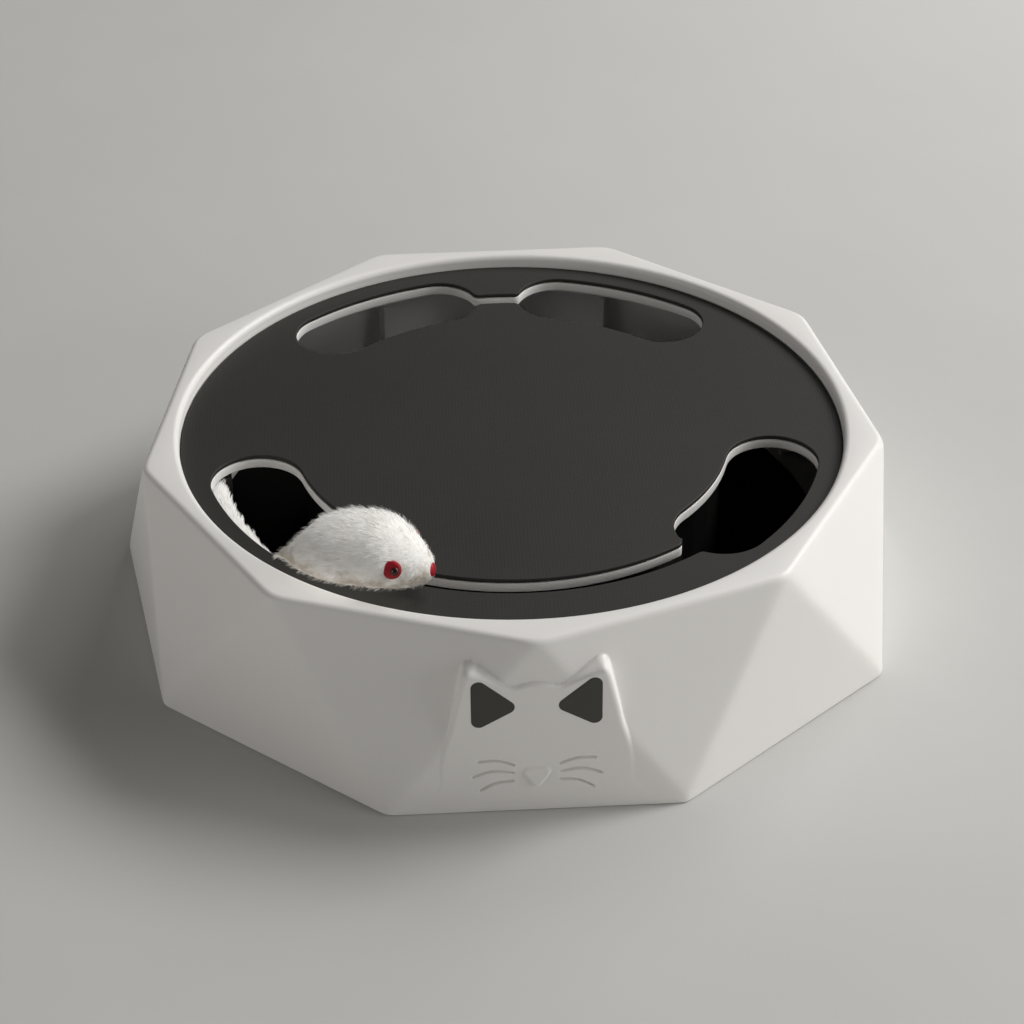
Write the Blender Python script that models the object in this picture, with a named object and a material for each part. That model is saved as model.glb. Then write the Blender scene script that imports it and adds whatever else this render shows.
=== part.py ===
"""Cat turntable toy: faceted tub, slotted deck, geared turntable and a plush mouse on its tail.

Metres, +Z up. The turntable's axis is Z, the floor is z = 0 and the cat's head faces -Y.
"""
import math

import bmesh
import bpy
from mathutils import Matrix, Vector

# Clearances
SEAT_GAP = 0.0003
RUNNING_GAP = 0.0003
SIDE_PLAY = 0.0004
OVERRUN = 0.0010
MERGE_DISTANCE = 0.000001
SEAM_DISTANCE = 0.000005

# Counts of facets on round pieces
SIDES = 9
DECK_FACETS = 60
DRUM_FACETS = 40
MEDIUM_FACETS = 20
SMALL_FACETS = 12
SCREW_FACETS = 8
FOOT_FACETS = 12
CELL_FACETS = 16

# Housing: a nine-sided tub whose top corners sit half a side round from its bottom corners
FRONT_ANGLE = math.radians(270)
REAR_ANGLE = math.radians(90)
HOUSING_BOTTOM = 0.0015
HOUSING_FLARE = 0.0126
WALL = 0.0027
SIDE_EDGE_RADIUS = 0.0080
RIM_EDGE_RADIUS = 0.0026
FOOT_EDGE_RADIUS = 0.0012
RIM_WIDTH = 0.0036
RIM_LIP = 0.0022
LIP_STEPS = 2
LEDGE_WIDTH = 0.0039
LEDGE_THICKNESS = 0.0026
RIB_THICKNESS = 0.0018
RIB_DEPTH = 0.0042
RIB_SETBACK = 0.00795
BOSS_RADIUS = 0.0040
BOSS_HEIGHT = 0.0180
BOSS_INSET = 0.0146
BOSS_PITCH = 3

# Cat's head relief on the front face, and its ear inlays
HEAD_WIDTH = 0.0648
HEAD_START = 0.0035
HEAD_SETBACK = 0.00395
HEAD_PROUD = 0.0014
HEAD_SUNK = 0.0003
HEAD_DEPTH = 0.0110
HEAD_BEVEL = 0.0010
HEAD_OUTLINE_SHARES = (
    (1.00, 0.00), (0.985, 0.21), (0.963, 0.37), (0.93, 0.47), (0.864, 0.587), (0.818, 0.676),
    (0.772, 0.783), (0.728, 0.872), (0.685, 0.957), (0.639, 1.00), (0.586, 0.977), (0.438, 0.877),
    (0.327, 0.817), (0.245, 0.79), (0.17, 0.795), (0.08, 0.819),
)
EAR_CORNER_SHARES = ((0.642, 0.890), (0.173, 0.662), (0.642, 0.512))
EAR_ROUNDING = 0.0018
EAR_INLAY_THICKNESS = 0.0010
NOSE_CORNER_SHARES = ((0.170, 0.235), (-0.170, 0.235), (0.0, 0.103))
NOSE_ROUNDING = 0.0010
NOSE_PROUD = 0.0006
ROUNDING_STEPS = 4

# Deck: a dark mat on a white plate, both with the same openings
MAT_DROP = 0.0045
MAT_THICKNESS = 0.0015
MAT_CLEARANCE = 0.0004
PLATE_THICKNESS = 0.0033
DECK_RING_WIDTH = 0.0074
FRONT_PAW_WIDTH = 0.0319
FRONT_SLOT_INSET = 0.0112
FRONT_SLOT_WIDTH = 0.0073
FRONT_NEAR_ANGLE = math.radians(46)
FRONT_FAR_ANGLE = math.radians(73.5)
REAR_PAW_WIDTH = 0.0298
REAR_RING_EXTRA = 0.0005
REAR_NECK_INSET = 0.0128
REAR_NECK_WIDTH = 0.0066
REAR_NEAR_ANGLE = math.radians(14)
REAR_FAR_ANGLE = math.radians(40.9)
OPENING_FILLET = 0.0025
SLOT_STEPS = 5
PAW_STEPS = 3
CAP_STEPS = 6
GUARD_INSET = 0.0068
GUARD_THICKNESS = 0.0027
GUARD_DEPTH = 0.0150
GUARD_HALF_ANGLE = math.radians(40.2)
GUARD_STEPS = 12

# Base plate, feet and the screws that hold the plate
BASE_BOTTOM = 0.0019
BASE_THICKNESS = 0.0025
BASE_CLEARANCE = 0.0006
FOOT_RADIUS = 0.0070
FOOT_RECESS = 0.0008
FOOT_SPACING = 0.0120
OUTER_FEET = 6
FIRST_FOOT_ANGLE = math.radians(30)
SCREW_HEAD_RADIUS = 0.0029
SCREW_HEAD_HEIGHT = 0.0012
SCREW_SHANK_RADIUS = 0.0013
BASE_SCREW_LENGTH = 0.0120

# Gear case: tub, motor plate and cover, on the base plate under the drum
CASE_WALL = 0.0020
CASE_FLOOR = 0.0018
CASE_CORNER = 0.0080
CASE_ROOM = 0.0012
CASE_FRONT_ROOM = 0.0010
CASE_COLUMN_RADIUS = 0.0036
CASE_COLUMN_INSET = 0.0056
MOTOR_PLATE_THICKNESS = 0.0017
AXLE_BOSS_RADIUS = 0.0035
AXLE_BOSS_LENGTH = 0.0040
CHAMBER_HEADROOM = 0.0018
COVER_THICKNESS = 0.0015
CASE_SCREW_LENGTH = 0.0200
MOUNT_SCREW_LENGTH = 0.0090
POST_RADIUS = 0.0080
POST_TIP_RADIUS = 0.0050
POST_STEP = 0.0007

# Gear train: motor pinion, two compound gears and the drive gear under the drum
FINE_MODULE = 0.0008
DRIVE_MODULE = 0.0010
PRESSURE_ANGLE = math.radians(20)
PINION_TEETH = 10
WHEEL_TEETH = 40
OUTPUT_PINION_TEETH = 12
DRIVE_TEETH = 60
FINE_WHEEL_ADDENDUM_SHARE = 0.60
FINE_WHEEL_DEDENDUM_SHARE = 1.20
FINE_PINION_ADDENDUM_SHARE = 1.00
FINE_PINION_DEDENDUM_SHARE = 1.00
DRIVE_ADDENDUM_SHARE = 0.70
DRIVE_DEDENDUM_SHARE = 1.25
OUTPUT_PINION_ADDENDUM_SHARE = 1.00
OUTPUT_PINION_DEDENDUM_SHARE = 1.05
BACKLASH_SHARE = 0.13
PINION_FLANK_SHARES = (0.3,)
WHEEL_FLANK_SHARES = ()
GEAR_B_ANGLE = math.radians(215)
GEAR_A_ANGLE = math.radians(-25)
MOTOR_ANGLE = math.radians(10)
WHEEL_WIDTH = 0.0030
GEAR_LAYER_GAP = 0.0014
DRIVE_GEAR_WIDTH = 0.0048
WEB_RECESS = 0.0011
WEB_RIM = 0.0022
WEB_HUB = 0.0026
AXLE_RADIUS = 0.0015
HUB_CLEARANCE = 0.00052
WASHER_THICKNESS = 0.0008
WASHER_WIDTH = 0.0045
MOTOR_RADIUS = 0.0101
MOTOR_HALF_FLAT = 0.0077
MOTOR_CAN_LENGTH = 0.0170
MOTOR_CAP_LENGTH = 0.0023
MOTOR_BOSS_RADIUS = 0.0030
MOTOR_SEAT_WALL = 0.0027
MOTOR_SHAFT_RADIUS = 0.0010
MOTOR_BORE_DEPTH = 0.0030
MOTOR_PINION_LENGTH = 0.0042
TERMINAL_WIDTH = 0.0020
TERMINAL_THICKNESS = 0.0006
TERMINAL_LENGTH = 0.0030
TERMINAL_ROOM = 0.00115

# Turntable: a drum over the gear case, and the ring that is the track's floor
DRUM_ROOM = 0.00504
DRUM_SETBACK = 0.0026
DRUM_WALL = 0.0020
DRUM_TOP = 0.0020
DRUM_HEADROOM = 0.0033
DRUM_FLANGE_WIDTH = 0.0060
DRUM_FLANGE_THICKNESS = 0.0020
TRACK_CLEARANCE = 0.00765
TRACK_FLOOR_THICKNESS = 0.0020
TRACK_FLOOR_MARGIN = 0.0035
FLOOR_SCREWS = 6
HUB_SCREWS = 3
HUB_SCREW_CIRCLE = 0.0180
DECK_SCREW_HEAD_RADIUS = 0.0045
DECK_SCREW_LENGTH = 0.0120

# Plush mouse, its tail and the post that holds the tail
MOUSE_LENGTH = 0.0520
MOUSE_WIDTH = 0.0300
MOUSE_HEIGHT = 0.0245
MOUSE_OFFSET = 0.0070
MOUSE_ANGLE = math.radians(236.9)
MOUSE_HEADING = math.radians(-19.4)
MOUSE_RING_FACETS = 16
MOUSE_RING_SHARES = (
    (0.000, 0.10, 0.10, 0.110), (0.045, 0.24, 0.22, 0.085), (0.100, 0.42, 0.38, 0.055),
    (0.170, 0.62, 0.57, 0.030), (0.250, 0.80, 0.76, 0.010), (0.340, 0.93, 0.90, 0.000),
    (0.440, 0.99, 0.98, 0.000), (0.540, 1.00, 1.00, 0.000), (0.640, 0.97, 0.98, 0.000),
    (0.730, 0.89, 0.91, 0.004), (0.810, 0.77, 0.80, 0.014), (0.880, 0.62, 0.66, 0.034),
    (0.940, 0.45, 0.49, 0.066), (0.980, 0.30, 0.33, 0.112),
)
EYE_STATION_SHARE = 0.80
EYE_TILT = math.radians(14)
EYE_RADIUS = 0.0031
EYE_THICKNESS = 0.0010
PUPIL_RADIUS = 0.0013
NOSE_BUTTON_RADIUS = 0.0023
NOSE_BUTTON_LENGTH = 0.0024
TAIL_SLOT_CLEARANCE = 0.0005
TAIL_CROSSING_ANGLE = math.radians(240)
TAIL_END_ANGLE = math.radians(189)
TAIL_INSET = 0.0055
TAIL_RADIUS = 0.0046
TAIL_END_RADIUS = 0.0032
TAIL_DROP = 0.0090
TAIL_SOCKET = 0.0022
TAIL_FACETS = 8
TAIL_SUBSTEPS = 3
TAIL_ROUTE_SHARES = (
    (0.00, 0.00, 1.00, 0.00), (0.00, 0.00, 0.70, 0.00), (0.00, 0.01, 0.44, 0.00),
    (0.10, 0.07, 0.16, 0.30), (0.37, 0.18, 0.00, 0.75), (0.73, 0.34, 0.00, 1.00),
    (1.00, 0.51, 0.15, 1.00), (1.00, 0.70, 0.21, 1.00), (1.00, 0.89, 0.21, 0.60),
    (1.00, 1.00, 0.21, 0.00),
)
WIRE_RADIUS = 0.0009
WIRE_LENGTH = 0.0110
CLAMP_LENGTH = 0.0090
CLAMP_WIDTH = 0.0080
CLAMP_HEIGHT = 0.0075
CLAMP_GAP = 0.0018
TAIL_POST_LENGTH = 0.0060
TAIL_POST_WIDTH = 0.0060
TAIL_POST_FOOT_LENGTH = 0.0200
TAIL_POST_FOOT_WIDTH = 0.0100
TAIL_POST_FOOT_HEIGHT = 0.0022
TAIL_POST_SCREW_PITCH = 0.0140

# Batteries, their box, contacts and door
CELL_RADIUS = 0.00725
CELL_LENGTH = 0.0505
CELL_NUB_RADIUS = 0.00275
CELL_NUB_LENGTH = 0.0010
CELL_COUNT = 3
CELL_GAP = 0.0005
SPRING_LENGTH = 0.0040
SPRING_WIRE_RADIUS = 0.0004
SPRING_BASE_RADIUS = 0.0042
SPRING_TIP_RADIUS = 0.0022
SPRING_TURNS = 3
SPRING_POINTS_PER_TURN = 6
SPRING_FACETS = 4
CONTACT_THICKNESS = 0.0005
CONTACT_WIDTH = 0.0100
BOX_WALL = 0.0018
BOX_CASE_GAP = 0.0004
BOX_SPARE = 0.0006
DOOR_THICKNESS = 0.0020
DOOR_GAP = 0.0003
LATCH_WIDTH = 0.0108
LATCH_LENGTH = 0.0031
LATCH_THICKNESS = 0.0015
GRIP_GROOVES = 3

# Control board, its pillars and the power switch
BOARD_LENGTH = 0.0340
BOARD_WIDTH = 0.0260
BOARD_THICKNESS = 0.0016
BOARD_CASE_SPACING = 0.0094
BOARD_BOX_SPACING = 0.0044
BOARD_LIFT = 0.0043
PILLAR_RADIUS = 0.0025
PILLAR_INSET = 0.0035
CHIP_SIZE = 0.0080
CHIP_HEIGHT = 0.0014
CAPACITOR_RADIUS = 0.0030
CAPACITOR_HEIGHT = 0.0080
SOCKET_LENGTH = 0.0100
SOCKET_WIDTH = 0.0050
SOCKET_HEIGHT = 0.0060
SWITCH_SPACING = 0.01065
SWITCH_SETBACK = 0.0188
SWITCH_LENGTH = 0.0150
SWITCH_WIDTH = 0.0070
SWITCH_HEIGHT = 0.0055
SWITCH_TRAVEL = 0.0040
KNOB_LENGTH = 0.0044
KNOB_WIDTH = 0.0030
KNOB_RECESS = 0.0002
STEM_SIZE = 0.0020
STEM_HEIGHT = 0.0022

def polar(radius, angle):
    """Plan point at a radius and an angle from +X."""
    return Vector((radius * math.cos(angle), radius * math.sin(angle)))


# Gear train in plan, and the case round it
drive_pitch_radius = DRIVE_MODULE * DRIVE_TEETH / 2
output_pitch_radius = DRIVE_MODULE * OUTPUT_PINION_TEETH / 2
wheel_pitch_radius = FINE_MODULE * WHEEL_TEETH / 2
pinion_pitch_radius = FINE_MODULE * PINION_TEETH / 2
wheel_tip_radius = wheel_pitch_radius + FINE_MODULE * FINE_WHEEL_ADDENDUM_SHARE
output_tip_radius = output_pitch_radius + DRIVE_MODULE * OUTPUT_PINION_ADDENDUM_SHARE
fine_centres = wheel_pitch_radius + pinion_pitch_radius
drive_centres = drive_pitch_radius + output_pitch_radius
hub_radius = fine_centres - wheel_tip_radius - HUB_CLEARANCE
axle_bore = AXLE_RADIUS + RUNNING_GAP
gear_b_centre = polar(drive_centres, GEAR_B_ANGLE)
gear_a_centre = gear_b_centre + polar(fine_centres, GEAR_A_ANGLE)
motor_centre = gear_a_centre + polar(fine_centres, MOTOR_ANGLE)
case_side_room = wheel_tip_radius + CASE_ROOM + CASE_WALL
case_left = gear_b_centre.x - case_side_room
case_front = gear_a_centre.y - case_side_room
case_right = motor_centre.x + MOTOR_RADIUS + CASE_ROOM + CASE_WALL
case_rear = POST_RADIUS + CASE_FRONT_ROOM + CASE_WALL
case_reach = Vector((case_left + CASE_CORNER, case_front + CASE_CORNER)).length + CASE_CORNER

# Battery box behind the gear case, with the board and the switch beside them
cell_pitch = 2 * CELL_RADIUS + CELL_GAP
box_half_length = (CELL_LENGTH + SPRING_LENGTH + 2 * CONTACT_THICKNESS + BOX_SPARE) / 2
box_start = case_rear + BOX_CASE_GAP + BOX_WALL
box_depth = CELL_COUNT * cell_pitch
box_end = box_start + box_depth
box_reach = Vector((box_half_length + BOX_WALL, box_end + BOX_WALL)).length
board_x = case_right + BOARD_CASE_SPACING + BOARD_WIDTH / 2
board_y = box_start - BOX_WALL - BOARD_BOX_SPACING - BOARD_LENGTH / 2
switch_x = -box_half_length - BOX_WALL - SWITCH_SPACING - SWITCH_LENGTH / 2
switch_y = box_start + SWITCH_SETBACK

# Radii from the drum, which clears all of these, out to the deck and the tub
side_angle = 2 * math.pi / SIDES
drum_radius = max(case_reach, box_reach) + DRUM_ROOM + DRUM_WALL
paw_inner = drum_radius + DRUM_SETBACK
paw_outer = paw_inner + FRONT_PAW_WIDTH
slot_outer = paw_outer - FRONT_SLOT_INSET
slot_inner = slot_outer - FRONT_SLOT_WIDTH
slot_middle = (slot_outer + slot_inner) / 2
track_floor_radius = paw_outer + TRACK_FLOOR_MARGIN
deck_radius = paw_outer + DECK_RING_WIDTH
recess_radius = deck_radius + MAT_CLEARANCE
ledge_radius = recess_radius - LEDGE_WIDTH
rim_inner_radius = recess_radius + RIM_LIP
top_corner_radius = (rim_inner_radius + RIM_WIDTH) / math.cos(side_angle / 2)
bottom_corner_radius = top_corner_radius + HOUSING_FLARE
bottom_apothem = bottom_corner_radius * math.cos(side_angle / 2)
wall_at_corner = WALL / math.cos(side_angle / 2)
boss_circle = bottom_corner_radius - BOSS_INSET
foot_circle = boss_circle - FOOT_SPACING

# Heights from the base plate up through the motor, the gears and the drum to the deck and the rim
base_top = BASE_BOTTOM + BASE_THICKNESS
case_bottom = base_top + SEAT_GAP
motor_cap_bottom = case_bottom + CASE_FLOOR + TERMINAL_ROOM + TERMINAL_LENGTH
motor_cap_top = motor_cap_bottom + MOTOR_CAP_LENGTH
motor_can_bottom = motor_cap_top + SEAT_GAP
motor_can_top = motor_can_bottom + MOTOR_CAN_LENGTH
motor_plate_bottom = motor_can_top + SEAT_GAP
case_rim = motor_plate_bottom - SEAT_GAP
chamber_bottom = motor_plate_bottom + MOTOR_PLATE_THICKNESS
chamber_top = chamber_bottom + 2 * (SIDE_PLAY + WHEEL_WIDTH) + GEAR_LAYER_GAP + CHAMBER_HEADROOM
cover_top = chamber_top + COVER_THICKNESS
washer_top = cover_top + SEAT_GAP + WASHER_THICKNESS
drive_gear_bottom = washer_top + SEAT_GAP
drive_gear_top = drive_gear_bottom + DRIVE_GEAR_WIDTH
drum_underside = drive_gear_top + SEAT_GAP
drum_top = drum_underside + DRUM_TOP
plate_bottom = drum_top + DRUM_HEADROOM
plate_top = plate_bottom + PLATE_THICKNESS
mat_bottom = plate_top + SEAT_GAP
mat_top = mat_bottom + MAT_THICKNESS
housing_top = mat_top + MAT_DROP
housing_height = housing_top - HOUSING_BOTTOM
head_height = housing_height - HEAD_START - HEAD_SETBACK
ledge_top = plate_bottom - SEAT_GAP
cavity_top = ledge_top - LEDGE_THICKNESS
track_bottom = base_top + TRACK_CLEARANCE
track_top = track_bottom + TRACK_FLOOR_THICKNESS
door_top = BASE_BOTTOM + DOOR_THICKNESS
cell_height = door_top + BOX_SPARE + CELL_RADIUS
box_ceiling = cell_height + CELL_RADIUS + BOX_SPARE
board_bottom = base_top + BOARD_LIFT + SEAT_GAP
board_top = board_bottom + BOARD_THICKNESS

# Screw holes, the tail's run and the mouse's place
screw_hole = SCREW_SHANK_RADIUS + SEAT_GAP
screw_head_hole = SCREW_HEAD_RADIUS + SEAT_GAP
tail_crossing_radius = FRONT_SLOT_WIDTH / 2 - TAIL_SLOT_CLEARANCE
tail_run_radius = paw_outer - TAIL_INSET
tail_low = plate_bottom - TAIL_DROP
tail_high = mat_top + TAIL_SOCKET
tail_run_share = TAIL_ROUTE_SHARES[-1][2]
tail_run_height = tail_low + tail_run_share * (tail_high - tail_low)
mouse_centre = polar(slot_middle + MOUSE_OFFSET, MOUSE_ANGLE)
mouse_forward = polar(1, MOUSE_HEADING)


def clear_scene():
    for item in list(bpy.data.objects):
        bpy.data.objects.remove(item, do_unlink=True)


def make_finish(name, color, roughness, metallic=0.0):
    finish = bpy.data.materials.new(name)
    finish.use_nodes = True
    shader = finish.node_tree.nodes["Principled BSDF"]
    shader.inputs["Base Color"].default_value = (*color, 1.0)
    shader.inputs["Roughness"].default_value = roughness
    shader.inputs["Metallic"].default_value = metallic
    finish.diffuse_color = (*color, 1.0)
    return finish


def make_frame(name, place=(0, 0, 0)):
    """An empty on a joint's axis, which carries the pieces that move with it."""
    frame = bpy.data.objects.new(name, None)
    frame.location = place
    bpy.context.scene.collection.objects.link(frame)
    return frame


def add_object(name, shape, finish=None, frame=None):
    bmesh.ops.recalc_face_normals(shape, faces=shape.faces)
    if shape.calc_volume(signed=True) < 0:
        bmesh.ops.reverse_faces(shape, faces=shape.faces)
    mesh = bpy.data.meshes.new(name)
    shape.to_mesh(mesh)
    shape.free()
    mesh.shade_smooth()
    mesh.set_sharp_from_angle(angle=math.radians(30))
    if finish:
        mesh.materials.append(finish)
    piece = bpy.data.objects.new(name, mesh)
    bpy.context.scene.collection.objects.link(piece)
    piece.parent = frame
    return piece


def combine(piece, tool, operation):
    """A Boolean of one piece with a hidden tool, which shares the piece's parent."""
    tool.parent = piece.parent
    tool.hide_render = True
    tool.display_type = "WIRE"
    change = piece.modifiers.new(tool.name, "BOOLEAN")
    change.operation = operation
    change.object = tool


def weld_seams():
    """Closes the hairline seams that a chain of Booleans can leave."""
    for piece in bpy.data.objects:
        if piece.modifiers:
            weld = piece.modifiers.new("seams", "WELD")
            weld.merge_threshold = SEAM_DISTANCE


def cut(piece, name, shape):
    combine(piece, add_object(piece.name + "_" + name, shape), "DIFFERENCE")


def fuse(piece, name, shape):
    combine(piece, add_object(piece.name + "_" + name, shape), "UNION")


def move(shape, verts, offset):
    bmesh.ops.translate(shape, verts=verts, vec=offset)
    return verts


def turn(shape, verts, angle, axis="Z", centre=(0, 0, 0)):
    bmesh.ops.rotate(shape, verts=verts, cent=centre, matrix=Matrix.Rotation(angle, 3, axis))
    return verts


def add_prism(shape, outline, low, high):
    """An outline in plan, extruded from one height to another."""
    verts = [shape.verts.new((point[0], point[1], low)) for point in outline]
    face = shape.faces.new(verts)
    grown = bmesh.ops.extrude_face_region(shape, geom=[face])["geom"]
    lifted = [item for item in grown if isinstance(item, bmesh.types.BMVert)]
    move(shape, lifted, (0, 0, high - low))
    return verts + lifted


def add_turned(shape, profile, facets, closed=False):
    """A profile of (radius, height) spun about Z. A closed profile makes a ring."""
    before = set(shape.verts)
    verts = [shape.verts.new((radius, 0, height)) for radius, height in profile]
    pairs = list(zip(verts, verts[1:]))
    if closed:
        pairs.append((verts[-1], verts[0]))
    edges = [shape.edges.new(pair) for pair in pairs]
    bmesh.ops.spin(shape, geom=verts + edges, cent=(0, 0, 0), axis=(0, 0, 1),
                   angle=2 * math.pi, steps=facets, use_merge=True)
    new_verts = [vert for vert in shape.verts if vert not in before]
    bmesh.ops.remove_doubles(shape, verts=new_verts, dist=MERGE_DISTANCE)
    return [vert for vert in shape.verts if vert not in before]


def add_cylinder(shape, radius, low, high, place=(0, 0), facets=SMALL_FACETS):
    return add_prism(shape, arc(place, radius, 0, 2 * math.pi, facets)[:-1], low, high)


def add_ring(shape, inner, outer, low, high, facets):
    profile = ((inner, low), (outer, low), (outer, high), (inner, high))
    return add_turned(shape, profile, facets, closed=True)


def add_box(shape, left, right, front, rear, low, high):
    return add_prism(shape, ((left, front), (right, front), (right, rear), (left, rear)), low, high)


def add_screw_hole(shape, low, high, place=(0, 0)):
    return add_cylinder(shape, screw_hole, low, high, place, SCREW_FACETS)


def add_screw(shape, head_radius, head_bottom, length, place=(0, 0)):
    """A pan-head screw, head up, whose shank runs from under its head."""
    end = head_bottom - length
    head_top = head_bottom + SCREW_HEAD_HEIGHT
    profile = ((0, end), (SCREW_SHANK_RADIUS, end), (SCREW_SHANK_RADIUS, head_bottom),
               (head_radius, head_bottom), (head_radius * 3 / 4, head_top), (0, head_top))
    verts = add_turned(shape, profile, SCREW_FACETS)
    return move(shape, verts, (place[0], place[1], 0))


def add_tube(shape, points, radii, facets):
    """A round tube through points, with its rings turned as little as can be from one to the next."""
    directions = []
    for index in range(len(points)):
        ahead = points[min(index + 1, len(points) - 1)]
        behind = points[max(index - 1, 0)]
        directions.append((ahead - behind).normalized())
    side = directions[0].orthogonal().normalized()
    rings = []
    for point, direction, radius in zip(points, directions, radii):
        side = (side - direction * side.dot(direction)).normalized()
        up = direction.cross(side)
        ring = []
        for step in range(facets):
            angle = 2 * math.pi * step / facets
            ring.append(shape.verts.new(point + radius * (math.cos(angle) * side + math.sin(angle) * up)))
        rings.append(ring)
    skin_rings(shape, rings)
    return [vert for ring in rings for vert in ring]


def skin_rings(shape, rings):
    """Quads between rings of equal count, with a face on each end."""
    for ring, following in zip(rings, rings[1:]):
        for index in range(len(ring)):
            after = (index + 1) % len(ring)
            shape.faces.new((ring[index], ring[after], following[after], following[index]))
    shape.faces.new(rings[0][::-1])
    shape.faces.new(rings[-1])


def arc(centre, radius, start, end, steps):
    """Points along an arc, both ends included."""
    points = []
    for step in range(steps + 1):
        points.append(Vector(centre) + polar(radius, start + (end - start) * step / steps))
    return points


def smooth_route(controls, substeps):
    """Points on a smooth curve through vectors of any length, by Catmull-Rom."""
    points = []
    for index in range(len(controls) - 1):
        before = controls[max(index - 1, 0)]
        here = controls[index]
        there = controls[index + 1]
        after = controls[min(index + 2, len(controls) - 1)]
        for step in range(substeps):
            t = step / substeps
            pull = (there - before) * t + (2 * before - 5 * here + 4 * there - after) * t ** 2
            bend = (3 * here - before - 3 * there + after) * t ** 3
            points.append(here + (pull + bend) / 2)
    points.append(controls[-1])
    return points


def rounded_outline(corners, radius, steps):
    """A polygon with an arc of one radius in each corner."""
    points = []
    for index, corner in enumerate(corners):
        corner = Vector(corner)
        back = (Vector(corners[index - 1]) - corner).normalized()
        ahead = (Vector(corners[(index + 1) % len(corners)]) - corner).normalized()
        half = back.angle(ahead) / 2
        centre = corner + (back + ahead).normalized() * radius / math.sin(half)
        start = corner + back * radius / math.tan(half) - centre
        end = corner + ahead * radius / math.tan(half) - centre
        first = math.atan2(start.y, start.x)
        sweep = math.remainder(math.atan2(end.y, end.x) - first, 2 * math.pi)
        points.extend(arc(centre, radius, first, first + sweep, steps))
    return points


def circle_meeting(first, first_radius, second, second_radius):
    """Where two circles cross, on the side of lower y."""
    between = second - first
    distance = between.length
    along = (first_radius ** 2 - second_radius ** 2 + distance ** 2) / (2 * distance)
    height = math.sqrt(first_radius ** 2 - along ** 2)
    unit = between / distance
    across = height * Vector((-unit.y, unit.x))
    return min(first + unit * along + across, first + unit * along - across, key=lambda point: point.y)


def angle_of(vector):
    return math.atan2(vector.y, vector.x)


def half_opening(inner, outer, neck_inner, neck_outer, near, far):
    """One half of a deck opening, from the neck's inner edge round the paw hole to its outer edge.

    Angles are counted from the opening's mirror line, and the fillets between neck and hole
    are circles that touch both edges.
    """
    middle = (inner + outer) / 2
    cap = (outer - inner) / 2
    centre = Vector((0, 0))
    near_centre = polar(middle, near)
    far_centre = polar(middle, far)
    reach = cap + OPENING_FILLET
    inner_fillet = circle_meeting(centre, neck_inner - OPENING_FILLET, near_centre, reach)
    outer_fillet = circle_meeting(centre, neck_outer + OPENING_FILLET, near_centre, reach)
    neck_steps = max(1, round(SLOT_STEPS * near / FRONT_NEAR_ANGLE))
    inner_stop = angle_of(inner_fillet)
    outer_stop = angle_of(outer_fillet)
    points = arc(centre, neck_inner, 0, inner_stop, neck_steps)
    points += turn_arc(inner_fillet, OPENING_FILLET, inner_fillet, near_centre - inner_fillet, 2)[1:]
    cap_start = inner_fillet - near_centre
    points += turn_arc(near_centre, cap, cap_start, -near_centre, CAP_STEPS // 2)[1:]
    points += arc(centre, inner, near, far, PAW_STEPS)[1:]
    points += arc(far_centre, cap, far + math.pi, far, CAP_STEPS)[1:]
    points += arc(centre, outer, far, near, PAW_STEPS)[1:]
    cap_end = outer_fillet - near_centre
    points += turn_arc(near_centre, cap, near_centre, cap_end, CAP_STEPS // 2)[1:]
    points += turn_arc(outer_fillet, OPENING_FILLET, near_centre - outer_fillet, -outer_fillet, 2)[1:]
    points += arc(centre, neck_outer, outer_stop, 0, neck_steps)[1:]
    return points


def turn_arc(centre, radius, start, end, steps):
    """An arc between two directions, the shorter way round."""
    first = angle_of(start)
    sweep = math.remainder(angle_of(end) - first, 2 * math.pi)
    return arc(centre, radius, first, first + sweep, steps)


def deck_opening(half, mirror_angle):
    """A whole opening: a half in its own frame and its mirror image, turned to their place."""
    other = [Vector((point.x, -point.y)) for point in reversed(half[1:-1])]
    turned_points = []
    for point in half + other:
        turned_points.append(polar(point.length, angle_of(point) + mirror_angle))
    return turned_points


def front_opening():
    half = half_opening(paw_inner, paw_outer, slot_inner, slot_outer, FRONT_NEAR_ANGLE, FRONT_FAR_ANGLE)
    return deck_opening(half, FRONT_ANGLE)


def rear_opening():
    outer = paw_outer - REAR_RING_EXTRA
    neck_outer = outer - REAR_NECK_INSET
    half = half_opening(outer - REAR_PAW_WIDTH, outer, neck_outer - REAR_NECK_WIDTH, neck_outer,
                        REAR_NEAR_ANGLE, REAR_FAR_ANGLE)
    return deck_opening(half, REAR_ANGLE)


def add_antiprism(shape, top_radius, bottom_radius, low, high):
    """Nine upright and nine hanging triangles between two nonagons half a side apart."""
    top = []
    bottom = []
    for index in range(SIDES):
        angle = FRONT_ANGLE + index * side_angle
        top.append(shape.verts.new((*polar(top_radius, angle), high)))
        bottom.append(shape.verts.new((*polar(bottom_radius, angle + side_angle / 2), low)))
    for index in range(SIDES):
        after = (index + 1) % SIDES
        shape.faces.new((top[index], bottom[index], top[after]))
        shape.faces.new((bottom[index - 1], bottom[index], top[index]))
    shape.faces.new(top)
    shape.faces.new(bottom[::-1])
    return top, bottom


def keep_inside(shape, point, normal):
    """Trims a convex shape by a plane and closes the cut."""
    everything = shape.verts[:] + shape.edges[:] + shape.faces[:]
    bmesh.ops.bisect_plane(shape, geom=everything, dist=MERGE_DISTANCE, plane_co=point, plane_no=normal,
                           clear_outer=True)
    bmesh.ops.holes_fill(shape, edges=[edge for edge in shape.edges if edge.is_boundary], sides=0)


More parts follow.
